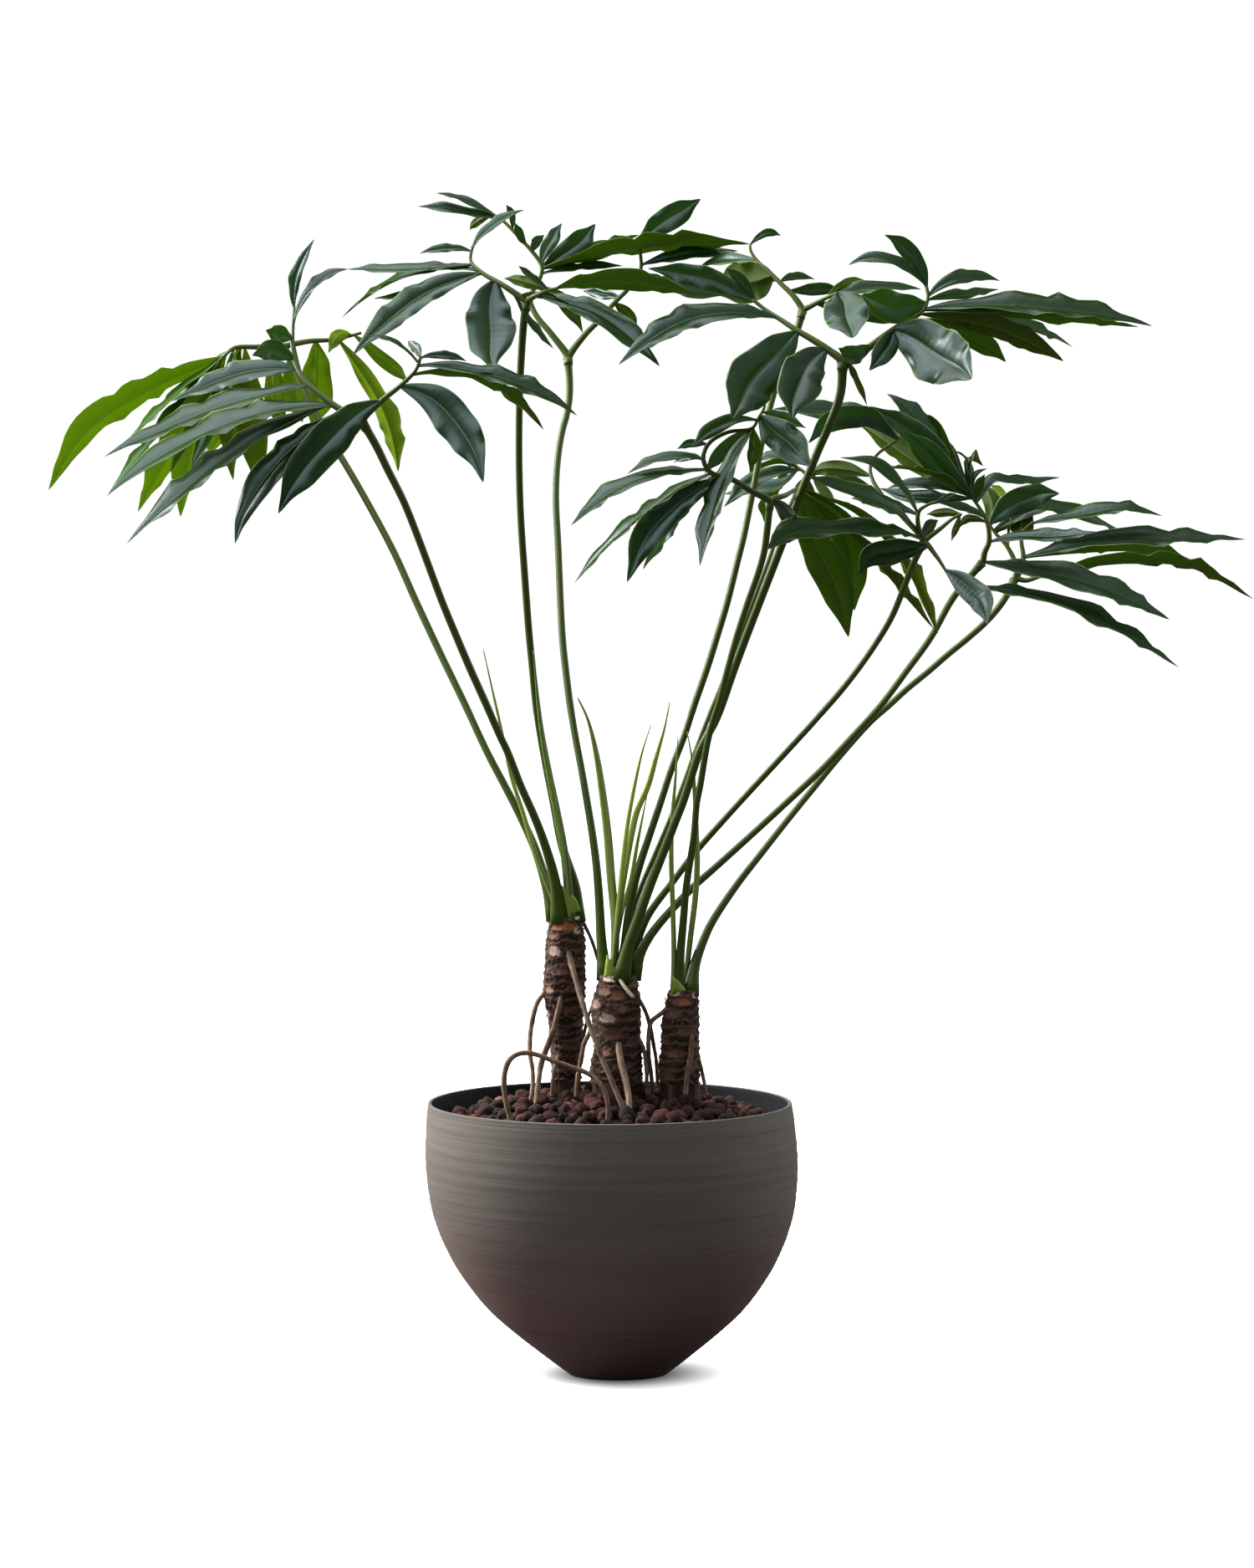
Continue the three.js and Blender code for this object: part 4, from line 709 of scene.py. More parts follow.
def root_rings(line, radius, seed):
    """A woody root: knobbly, thinner towards its end"""
    share = np.linspace(0, 1, len(line))
    taper = np.interp(share, [0, 0.06, 0.5, 1], [1.35, 1.0, 0.98, 0.82])
    turn = np.arange(ROOT_SIDES) * 2 * np.pi / ROOT_SIDES
    knobs = np.array([[noise.noise(Vector((seed + math.cos(a), math.sin(a), s * len(line) * 0.22)))
                       for a in turn] for s in share])
    rings_at = 1 + 0.16 * knobs + 0.05 * np.sin(share * 70 + seed)[:, None]
    radii = radius * MM * taper[:, None] * rings_at
    return stalk_rings(line, radii, radii, ROOT_SIDES)


def bark(tree, place):
    """Dry bark, dark between its ragged tan lips, with smooth scars in cream, pink and orange"""
    stretched = node(tree, "Mapping", {0: place, "Scale": (1.0, 1.0, 2.6)}).outputs[0]
    rough = rough_grain(tree, stretched, 520.0)
    scar = mark_of(tree, "scar")
    worn = times(tree, mark_of(tree, "lip"), eased(tree, rough["Grain"], 0.3, 0.6, 0.25, 1.0))
    colour = tinted(tree, shade("1a0f0b"), eased(tree, rough["Clouds"], 0.35, 0.65), "402b25")
    colour = tinted(tree, colour, eased(tree, rough["Grain"], 0.5, 0.72, 0.0, 0.6), "8b6a52")
    colour = tinted(tree, colour, worn, "7d6250")
    colour = tinted(tree, colour, times(tree, rough["Pits"], 0.5), "130b09")
    stops = [(0.0, "4c352c"), (0.38, "7a564a"), (0.62, "a3633a"), (0.8, "c4a79f"), (1.0, "e0d4b8")]
    fresh = ramped(tree, mark_of(tree, "tone"), stops)
    fresh = tinted(tree, fresh, eased(tree, rough["Clouds"], 0.45, 0.7, 0.0, 0.35), "6f4a39")
    relief = maths(tree, "SUBTRACT", rough["Grain"], times(tree, rough["Pits"], 0.6))
    return {
        "Base Color": mixed(tree, scar, colour, fresh), "Roughness": eased(tree, scar, 0.0, 1.0, 0.9, 0.6),
        "Specular IOR Level": 0.3, "Normal": bumped(tree, relief, 0.9, 0.7),
    }


def root_skin(tree, place):
    """Tan-brown root skin, streaked lengthwise and flecked with dark corky spots"""
    rough = rough_grain(tree, place, 480.0)
    fibres = streaks(tree, place, (620.0, 620.0, 60.0))
    colour = tinted(tree, shade("5d4436"), eased(tree, rough["Clouds"], 0.35, 0.65), "8d7560")
    colour = tinted(tree, colour, eased(tree, fibres, 0.5, 0.7, 0.0, 0.5), "a58d74")
    colour = tinted(tree, colour, times(tree, rough["Pits"], 0.55), "241713")
    relief = maths(tree, "MULTIPLY_ADD", fibres, 0.7, rough["Grain"])
    return {
        "Base Color": colour, "Roughness": 0.78, "Specular IOR Level": 0.35,
        "Normal": bumped(tree, relief, 0.7, 0.5),
    }


def scars_of(trunk, top, draw):
    """Scars as (turn, height, half-width, half-height, tone): the seen ones, then a spiral of older ones"""
    scars = []
    heights = [-edge[2] for edge in trunk["edges"][::-1]]
    for px, py, wide, high, tone in trunk["scars"]:
        place = seen(px, py, trunk["depth"])
        centre, radius = trunk_at(trunk, np.interp(-py, heights, np.linspace(0, 1, len(heights))))
        sine = max(-0.95, min(0.95, (place[0] - centre[0]) / radius))
        half_wide, half_high = wide * SCAR_SHARE * PIXEL_SIZE, high * SCAR_SHARE * PIXEL_SIZE
        scars.append((math.asin(sine) - math.pi / 2, place[2], half_wide, half_high, tone))
    turn = draw.uniform(0, 6)
    height = top - FIRST_SCAR * MM
    while height > top - SCARRED_LENGTH * MM:
        clear = all(abs(height - other[1]) > SCARS_APART * MM
                    or abs(math.remainder(turn - other[0], 2 * math.pi)) > SCARS_TURNED_APART
                    for other in scars)
        if clear:
            half_wide, half_high = draw.uniform(6.5, 9.0) * MM, draw.uniform(2.6, 4.0) * MM
            scars.append((turn, height, half_wide, half_high, draw.uniform(0.0, 0.55)))
        turn += GOLDEN_TURN
        height -= SCAR_PITCH * MM
    return scars


def around_and_up(turn, heights, seed, wide, tall, roughness, detail):
    """Noise over a trunk's skin, one row for each height, with no seam where it meets itself"""
    return np.array([[noise.fractal(Vector((math.cos(a) * wide + seed, math.sin(a) * wide, z * tall)),
                                    roughness, 2, detail) for a in turn] for z in heights])


def trunk_skin(trunk, seed):
    """Rings of a trunk with its bark in relief, and its scar, tone and lip marks"""
    draw = np.random.default_rng(seed)
    foot, _ = trunk_at(trunk, 0)
    top, _ = trunk_at(trunk, 1)
    rows = int((top[2] - foot[2]) / (TRUNK_ROW * MM))
    turn = 2 * np.pi * np.arange(TRUNK_SIDES) / TRUNK_SIDES
    places = [trunk_at(trunk, i / rows) for i in range(rows + 1)]
    centres = np.array([centre for centre, _ in places])
    radii = np.array([radius for _, radius in places])
    down = centres[0] - np.array([[0, 0, BURIED], [0, 0, BURIED / 2]]) * MM
    centres = np.concatenate([down, centres])
    radii = np.concatenate([[radii[0], radii[0]], radii])
    height = centres[:, 2][:, None] + np.zeros(TRUNK_SIDES)
    wobble = around_and_up(turn, centres[:, 2], seed, 1.6, 45, 1, 3)
    rough = around_and_up(turn, centres[:, 2], seed, 6, 330, 0.8, 4)
    phase = (height + wobble * RING_WOBBLE * MM) / (RING_PITCH * MM)
    saw = phase - np.floor(phase)
    lip = np.clip((saw - 0.55) / 0.3, 0, 1) * np.clip((1 - saw) / 0.12, 0, 1)
    relief = RING_LIP * (lip - 0.35) + BARK_ROUGH * rough
    scar = np.zeros_like(relief)
    tone = np.zeros_like(relief)
    for scar_turn, scar_height, half_wide, half_high, scar_tone in scars_of(trunk, top[2], draw):
        around = (turn - scar_turn + np.pi) % (2 * np.pi) - np.pi
        u = around[None, :] * radii[:, None] / half_wide
        v = (height - scar_height) / half_high - 0.25 * (1 - u * u)
        off = np.sqrt(u * u + v * v) + 0.12 * rough
        inside = np.clip((1.0 - off) / 0.18, 0, 1)
        relief = relief * (1 - inside) + inside * (0.35 + 0.25 * rough - 0.5 * (1 - off))
        relief += SCAR_LIP * np.exp(-((off - 1.08) / 0.16) ** 2)
        lip = np.maximum(lip * (1 - inside), 0.9 * np.exp(-((off - 1.05) / 0.13) ** 2))
        tone = tone * (1 - inside) + scar_tone * inside
        scar = np.maximum(scar, inside)
    reach = radii[:, None] + relief * MM
    rings = np.stack([
        centres[:, 0][:, None] + np.cos(turn) * reach,
        centres[:, 1][:, None] + np.sin(turn) * reach,
        height,
    ], axis=-1)
    crown = [rings[-1] * [1, 1, 0] * share + centres[-1] * [1, 1, 0] * (1 - share)
             + [0, 0, top[2] + lift * MM] for share, lift in ((0.8, 0.3), (0.4, 0.5))]
    rings = np.concatenate([rings, crown])
    marks = [np.concatenate([mark, mark[-1:] * 0, mark[-1:] * 0]).reshape(-1) for mark in (scar, tone, lip)]
    return rings, marks


def flake(place, outward, upward, size):
    """One dry scale that stands off the bark, as three short rings that shrink to its tip"""
    side = np.cross(upward, outward)
    rings = []
    for share, width in ((0.0, 1.0), (0.55, 0.75), (1.0, 0.12)):
        middle = place + outward * size * (0.25 + 0.75 * share) + upward * size * (0.9 * share ** 1.5)
        half = side * size * 0.55 * width
        thick = upward * 0.16 * MM
        rings.append([middle - half - thick, middle + half - thick, middle + half + thick,
                      middle - half + thick])
    return np.array(rings)


BARK = finish("scarred_bark", bark)
ROOT = finish("woody_root", root_skin)
for number, (name, trunk) in enumerate(TRUNKS.items()):
    draw = np.random.default_rng(70 + number)
    rings, (scar, tone, lip) = trunk_skin(trunk, 11 + 5 * number)
    parts = new_parts("scar", "tone", "lip")
    add_part(parts, *skin(rings), 0, scar=scar, tone=tone, lip=lip)
    for index, root in enumerate(trunk["roots"]):
        rings = root_rings(root_line(root, ROOT_STEPS), root["radius"], number * 7 + index * 3.3)
        add_part(parts, *skin(rings), 1, tone=0.3)
    for k in range(FLAKES):
        centre, radius = trunk_at(trunk, draw.uniform(0.12, 0.98))
        turn = draw.uniform(0, 2 * math.pi)
        outward = np.array([math.cos(turn), math.sin(turn), draw.uniform(-0.3, 0.5)])
        outward /= np.linalg.norm(outward)
        upward = np.array([0.0, 0.0, 1.0 if draw.uniform() < 0.6 else -1.0])
        size = draw.uniform(1.2, 2.6) * MM
        rings = flake(centre + outward * (radius + 0.2 * MM), outward, upward, size)
        add_part(parts, *skin(rings), 0, tone=0.3, lip=0.7)
    thing = joined(name + "_bark", parts, [BARK, ROOT])
    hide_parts(name)


# The looped root
# One long aerial root rises out of the stones on the left, arches over them and dives back in front of the
# middle trunk. It is held by the stones at both ends.
LOOP_ROOT = dict(
    at=[[615, 1352], [607, 1325], [603, 1302], [604, 1282], [609, 1268], [618, 1261], [630, 1259],
        [645, 1262], [660, 1268], [680, 1275], [700, 1282], [713, 1291], [722, 1302], [727, 1322],
        [726, 1356]],
    deep=[-86, -84, -80, -84, -94],
    radius=2.1,
)
looped = piece("looping_root", *skin(root_rings(root_line(LOOP_ROOT, 90), LOOP_ROOT["radius"], 5.5)), [ROOT])
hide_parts("looped_root")


# The fronds
# Each frond is a long round stalk, two or more ribs that fork from its knuckle, and narrow leathery leaflets
# along the ribs: glossy and dark above, olive below, waved at the edge and drawn out to a tip. Leaflets that
# light shines through from behind get a painted lime glow of backlight.
TOP = 1
UNDER = -1
STEM_SIDES = 14
STEM_STEPS = 90
STEM_TAPER = [1.12, 1, 1, 0.95, 0.95, 1.05]
FOOT_FLARE_WIDE = 0.75
FOOT_FLARE_DEEP = 0.35
FOOT_FLARE_LENGTH = 11
FOOT_SUNK = 5
RIB_SIDES = 10
RIB_STEPS = 40
RIB_TAPER = [0.95, 0.7, 0.42]
KNUCKLE = 6
KNUCKLE_SWELL = 0.35
LENGTH_PER_WIDTH = 2.9
SLENDERNESS = 5
DEEPEST_REACH = 70
MIDDLE_REACH = 0.45
BENT_REACH = [0.28, 0.62]
OUTLINE_RISE = 0.95
OUTLINE_FALL = 0.8
BLADE_FOLD = 0.2
BLADE_ARCH = 0.10
BLADE_WAVE = 0.12
BLADE_THICK = 0.6
MOST_TWIST = 0.15
WAVE_COUNT = (2.4, 3.4)
WAVED_LENGTH = 95
OUTLINE_SWING = 0.04
SIDE_BOW = 0.035
LEAF_STALK = 0.9
BLADE_ROWS = 34
ACROSS = np.array([1, 0.94, 0.74, 0.5, 0.26, 0.08, 0, -0.08, -0.26, -0.5, -0.74, -0.94, -1])


def leaflet(base, via, tip, width, side, reach=None):
    return dict(base=base, via=via, tip=tip, width=width, side=side, reach=reach)


# Each frond's lime share is how strongly a painted backlight glow, lime-green, is laid on its leaflets
FRONDS = {}

# Far left, behind: its leaflets hang with the light behind them
FRONDS["frond_01"] = dict(
    on="trunk_left",
    lime=0.7,
    stem=[[662, 1094], [654, 1060], [640, 1015], [622, 975], [604, 940], [583, 900], [555, 840],
          [526, 780], [498, 720], [471, 660], [439, 600], [416, 560], [396, 527], [378, 495], [362, 462],
          [347, 430], [335, 416]],
    deep=[17, 40, 85, 135, 180],
    foot=4.1, shaft=2.9,
    ribs=[
        dict(at=[[335, 416], [305, 415], [280, 416], [270, 424], [262, 432]], deep=[0, -15, -35]),
        dict(at=[[335, 416], [345, 413], [370, 408], [400, 406], [425, 400], [432, 398]],
             deep=[0, 25, 45]),
    ],
    leaflets=[
        leaflet([265, 422], [[187, 458], [96, 520]], [58, 586], 32, UNDER, 20),
        leaflet([268, 423], [205, 474], [152, 528], 10, TOP, -40),
        leaflet([275, 420], [240, 445], [200, 480], 12, TOP, 40),
        leaflet([262, 430], [195, 505], [130, 590], 16, TOP, -30),
        leaflet([265, 430], [212, 518], [165, 612], 32, UNDER, 45),
        leaflet([270, 424], [232, 520], [216, 618], 35, UNDER, 70),
        leaflet([280, 418], [258, 490], [228, 560], 24, TOP, -30),
        leaflet([285, 418], [275, 485], [245, 550], 30, UNDER, 55),
        leaflet([288, 417], [277, 500], [279, 574], 22, UNDER, 30),
        leaflet([293, 417], [303, 505], [304, 575], 36, UNDER, 15),
        leaflet([330, 416], [328, 470], [343, 512], 26, UNDER),
        leaflet([352, 412], [352, 465], [362, 505], 28, UNDER, 40),
        leaflet([377, 410], [380, 460], [374, 512], 40, UNDER),
        leaflet([403, 406], [459, 488], [476, 564], 27, UNDER),
        leaflet([425, 402], [459, 430], [489, 458], 18, UNDER),
        leaflet([420, 400], [405, 402], [393, 422], 17, UNDER, -20),
    ],
)

# Left, in front: a fan of long dark leaflets that droop to the left, and two that point right
FRONDS["frond_02"] = dict(
    on="trunk_left",
    lime=0.0,
    stem=[[669, 1094], [663, 1050], [650, 1005], [638.5, 975], [623, 940], [607.5, 900], [598, 880],
          [580.5, 840], [562.5, 800], [545.5, 760], [529, 720], [514, 680], [499, 640], [483, 600],
          [463, 560], [451, 535], [439, 514], [433, 505]],
    deep=[2, -24, -60, -105, -150],
    foot=4.5, shaft=3.1,
    ribs=[
        dict(at=[[433, 505], [400, 485], [365, 455], [352, 430], [350, 400], [352, 368]],
             deep=[0, 20, 60]),
        dict(at=[[433, 505], [458, 478], [478, 462], [497, 443], [503, 428]], deep=[0, -15, -20]),
    ],
    leaflets=[
        leaflet([455, 477], [388, 530], [333, 614], 46, TOP),
        leaflet([408, 490], [[330, 552], [294, 606]], [281, 650], 32, TOP),
        leaflet([395, 485], [262, 548], [152, 650], 24, TOP),
        leaflet([400, 485], [258, 506], [128, 593], 24, TOP, -40),
        leaflet([367, 460], [248, 488], [125, 546], 22, TOP, 25),
        leaflet([357, 443], [286, 446], [205, 480], 26, TOP, 40),
        leaflet([352, 428], [328, 419], [302, 425], 24, TOP, -30),
        leaflet([350, 405], [335, 400], [318, 395], 20, TOP),
        leaflet([352, 368], [354, 329], [376, 286], 15, TOP),
        leaflet([352, 385], [375, 339], [416, 322], 11, TOP),
        leaflet([477, 463], [541, 498], [578, 577], 44, TOP, -40),
        leaflet([500, 438], [602, 449], [690, 497], 18, TOP, -15),
        leaflet([492, 448], [584, 455], [650, 514], 14, UNDER, 12),
        leaflet([503, 428], [530, 424], [558, 432], 10, TOP),
        leaflet([500, 432], [472, 408], [440, 402], 4, TOP),
        leaflet([503, 426], [497, 416], [488, 408], 12, TOP, 20),
    ],
)

# Top left, over the left trunk
FRONDS["frond_03"] = dict(
    on="trunk_left",
    lime=0.1,
    stem=[[690, 1094], [688, 1062], [672, 1010], [662, 960], [652, 910], [642, 850], [636, 790],
          [633, 760], [627, 680], [623, 620], [621, 560], [621, 500], [622, 460], [624, 420], [627, 380],
          [630, 362]],
    deep=[11, 8, -8, -32, -60],
    foot=4.2, shaft=2.9,
    ribs=[
        dict(at=[[630, 362], [615, 350], [600, 340], [575, 325], [563, 312], [565, 295]],
             deep=[0, 10, 30]),
        dict(at=[[630, 362], [648, 350], [668, 344]], deep=[0, -15, -25]),
    ],
    leaflets=[
        leaflet([575, 328], [493, 359], [422, 425], 31, TOP, -25),
        leaflet([565, 316], [489, 319], [415, 322], 11, TOP, 10),
        leaflet([570, 326], [484, 327], [409, 380], 9, TOP, 55),
        leaflet([563, 300], [534, 296], [502, 303], 10, TOP),
        leaflet([565, 297], [588, 268], [627, 251], 11, TOP),
        leaflet([590, 335], [585, 388], [590, 440], 58, TOP, -45),
        leaflet([612, 352], [636, 385], [662, 417], 8, TOP),
        leaflet([575, 328], [505, 346], [447, 357], 11, TOP, 30),
        leaflet([655, 345], [629, 337], [603, 333], 14, UNDER, 20),
        leaflet([655, 340], [636, 330], [620, 318], 8, TOP),
        leaflet([640, 352], [720, 377], [789, 438], 27, TOP, -45),
        leaflet([622, 352], [660, 356], [699, 378], 9, UNDER, -25),
        leaflet([665, 344], [742, 334], [835, 353], 24, UNDER, -30),
    ],
)

# Top middle, behind: it forks wide below the crown and its ribs curl up and back
FRONDS["frond_04"] = dict(
    on="trunk_middle",
    lime=0.05,
    stem=[[723, 1163], [719, 1120], [717, 1080], [714, 1040], [709, 1000], [702.5, 960], [695.5, 920],
          [688, 880], [681.5, 840], [676.5, 800], [672.5, 760], [667.5, 650], [665, 600], [665.5, 570],
          [668.5, 538], [673, 513], [677.5, 497], [681, 475], [681, 450], [679, 428]],
    deep=[-17, 0, 40, 90, 140],
    foot=4, shaft=2.9,
    ribs=[
        dict(at=[[680, 428], [660, 400], [640, 375], [634, 355], [645, 335], [648, 318], [636, 300],
                 [622, 285], [610, 272], [598, 261], [585, 254]], deep=[0, 10, 25, 35, 45]),
        dict(at=[[680, 428], [700, 400], [720, 380], [735, 362], [752, 345], [766, 325], [766, 303],
                 [762, 284]],
             deep=[0, 8, 14, 20]),
    ],
    leaflets=[
        leaflet([648, 320], [778, 291], [897, 292], 22, UNDER, -25),
        leaflet([648, 318], [712, 298], [764, 281], 16, UNDER, 60),
        leaflet([764, 288], [798, 263], [838, 238], 31, TOP, -10),
        leaflet([648, 330], [697, 318], [745, 318], 10, TOP),
        leaflet([766, 318], [820, 303], [883, 300], 16, TOP),
        leaflet([648, 314], [657, 291], [672, 267], 18, TOP, 25),
        leaflet([650, 322], [684, 297], [712, 268], 30, TOP, 10),
        leaflet([636, 300], [641, 290], [651, 281], 12, TOP),
        leaflet([600, 265], [549, 250], [500, 247], 13, TOP),
        leaflet([596, 262], [557, 239], [522, 231], 8, TOP),
        leaflet([615, 275], [612, 257], [605, 245], 9, TOP),
        leaflet([629, 295], [622, 281], [616, 266], 11, TOP),
        leaflet([590, 258], [572, 264], [562, 275], 11, UNDER, 25),
        leaflet([640, 340], [675, 362], [697, 398], 18, UNDER),
        leaflet([735, 362], [750, 376], [762, 393], 16, UNDER),
        leaflet([766, 325], [812, 343], [865, 353], 20, TOP, 50),
        leaflet([742, 355], [720, 351], [697, 348], 14, TOP, 35),
    ],
)

# Top right, in front: the tallest and stoutest stalk, with broad leaflets and a long one to the right
FRONDS["frond_05"] = dict(
    on="trunk_middle",
    lime=0.05,
    stem=[[743.5, 1167], [752, 1130], [764, 1096], [777, 1060], [793, 1020], [808.5, 980], [816.5, 960],
          [829.5, 920], [836, 900], [846, 880], [856.5, 860], [878, 800], [893, 760], [908.5, 720],
          [928, 670], [939.5, 640], [954, 600], [970, 560], [981.5, 532], [991, 511], [1005.5, 470],
          [1008, 433]],
    deep=[-28.5, -36, -52, -85, -125],
    foot=4.7, shaft=3.4,
    ribs=[
        dict(at=[[1008, 433], [990, 418], [970, 405], [953, 395], [935, 383], [915, 370], [900, 358]],
             deep=[0, 12, 32]),
        dict(at=[[1008, 433], [1025, 427], [1040, 415], [1060, 400], [1075, 390], [1090, 382],
                 [1105, 370], [1110, 355], [1108, 342]], deep=[0, 8, 30, 45]),
    ],
    leaflets=[
        leaflet([932, 381], [833, 377], [740, 436], 27, TOP, -30),
        leaflet([955, 396], [908, 446], [876, 501], 60, TOP),
        leaflet([988, 416], [958, 450], [948, 500], 52, TOP),
        leaflet([1068, 395], [1061, 415], [1040, 443], 26, TOP, -35),
        leaflet([1046, 412], [1022, 424], [1003, 416], 22, TOP, -40),
        leaflet([1068, 394], [1118, 420], [1162, 453], 68, TOP),
        leaflet([1106, 362], [1068, 366], [1031, 352], 38, TOP, -35),
        leaflet([1106, 372], [1243, 362], [1378, 390], 24, TOP, -10),
        leaflet([1108, 372], [1240, 376], [1362, 391], 12, UNDER, 20),
        leaflet([1100, 375], [1197, 393], [1272, 432], 26, UNDER),
        leaflet([1106, 370], [1203, 378], [1283, 415], 20, TOP, 60),
        leaflet([1092, 381], [1160, 402], [1203, 433], 24, UNDER, 25),
        leaflet([1108, 345], [1091, 304], [1058, 281], 20, TOP),
        leaflet([1108, 343], [1063, 308], [1015, 317], 14, TOP),
        leaflet([1110, 353], [1150, 330], [1196, 336], 16, TOP, 30),
        leaflet([1110, 360], [1150, 351], [1195, 346], 12, TOP, 45),
        leaflet([902, 360], [845, 334], [775, 321], 28, TOP, 15),
        leaflet([902, 359], [888, 337], [868, 321], 14, TOP),
        leaflet([1010, 432], [1024, 452], [1037, 485], 8, UNDER),
    ],
)

# Top right, behind the stout one
FRONDS["frond_06"] = dict(
    on="trunk_middle",
    lime=0.1,
    stem=[[744.5, 1165], [748, 1130], [751, 1100], [756, 1070], [763.5, 1040], [776.5, 1000], [790, 960],
          [803, 920], [818.5, 880], [831.5, 840], [845.5, 800], [858, 760], [870, 720], [882.5, 670],
          [890, 640], [898, 600], [903, 575], [912, 525], [921, 487], [935, 440], [952, 400], [960, 372]],
    deep=[-18, -10, 8, 40, 80],
    foot=3.7, shaft=2.8,
    ribs=[
        dict(at=[[960, 372], [950, 355], [935, 340], [920, 325], [905, 311], [898, 300], [897, 293]],
             deep=[0, 12, 28]),
        dict(at=[[960, 372], [970, 366], [985, 358], [1002, 350]], deep=[0, -5, -12]),
    ],
    leaflets=[
        leaflet([926, 330], [895, 337], [856, 350], 52, UNDER, 30),
        leaflet([897, 294], [916, 279], [934, 282], 10, TOP),
        leaflet([944, 348], [976, 346], [1004, 344], 16, TOP, 10),
        leaflet([1002, 350], [1012, 370], [1020, 404], 56, TOP, -40),
        leaflet([985, 358], [1044, 342], [1102, 346], 14, TOP, 20),
        leaflet([990, 356], [1012, 340], [1036, 336], 14, UNDER, 30),
        leaflet([975, 364], [1030, 372], [1085, 385], 24, TOP, 10),
        leaflet([931, 338], [950, 330], [975, 334], 10, TOP, 20),
        leaflet([931, 336], [917, 333], [903, 343], 13, TOP, 15),
        leaflet([905, 312], [866, 309], [838, 318], 14, TOP, 50),
    ],
)

# Middle, in front: its left rib winds up and over, and one very broad leaflet hangs on the right
FRONDS["frond_07"] = dict(
    on="trunk_right",
    lime=0.1,
    stem=[[811.5, 1184], [814, 1140], [817.5, 1100], [821, 1060], [830, 1000], [833.5, 960], [837.5, 940],
          [844, 900], [848, 880], [853.5, 860], [860, 840], [870.5, 800], [881.5, 760], [894.5, 720],
          [907, 685], [914, 660], [917.5, 635], [921, 600]],
    deep=[-18, -34, -62, -85, -105],
    foot=3.5, shaft=2.7,
    ribs=[
        dict(at=[[921, 600], [900, 588], [875, 573], [850, 565], [841, 548], [848, 530], [870, 517],
                 [900, 512], [907, 500], [914, 488], [915, 476]], deep=[0, -20, -30, -22, -5]),
        dict(at=[[921, 600], [940, 592], [952, 585], [962, 583]], deep=[0, 20, 55]),
    ],
    leaflets=[
        leaflet([848, 560], [[770, 568], [722, 592]], [683, 628], 15, TOP, -20),
        leaflet([842, 548], [796, 545], [750, 567], 10, TOP),
        leaflet([850, 565], [[800, 590], [727, 647]], [687, 697], 10, TOP, 45),
        leaflet([865, 570], [[814, 598], [775, 638]], [750, 696], 34, TOP),
        leaflet([858, 568], [806, 618], [769, 681], 20, TOP, 65),
        leaflet([900, 512], [[877, 545], [844, 628]], [837, 677], 22, TOP, -30),
        leaflet([893, 514], [868, 536], [843, 566], 18, TOP, 30),
        leaflet([907, 500], [[880, 500], [850, 514]], [828, 534], 16, TOP, -35),
        leaflet([846, 532], [828, 530], [810, 537], 10, TOP),
        leaflet([841, 552], [824, 546], [806, 553], 9, TOP, 20),
        leaflet([908, 500], [937, 525], [970, 557], 40, TOP, -35),
        leaflet([902, 510], [902, 536], [897, 564], 15, UNDER),
        leaflet([912, 492], [938, 499], [964, 512], 12, TOP, 30),
        leaflet([957, 585], [[972, 640], [998, 692]], [1015, 762], 44, UNDER, 25),
        leaflet([961, 583], [[1006, 634], [1021, 690]], [1022, 730], 40, UNDER, 50),
        leaflet([925, 599], [941, 614], [955, 640], 18, TOP, -8),
        leaflet([956, 586], [[1014, 629], [1070, 690]], [1118, 753], 12, UNDER, 60),
        leaflet([960, 583], [[1028, 611], [1088, 675]], [1122, 758], 10, UNDER, 80),
    ],
)

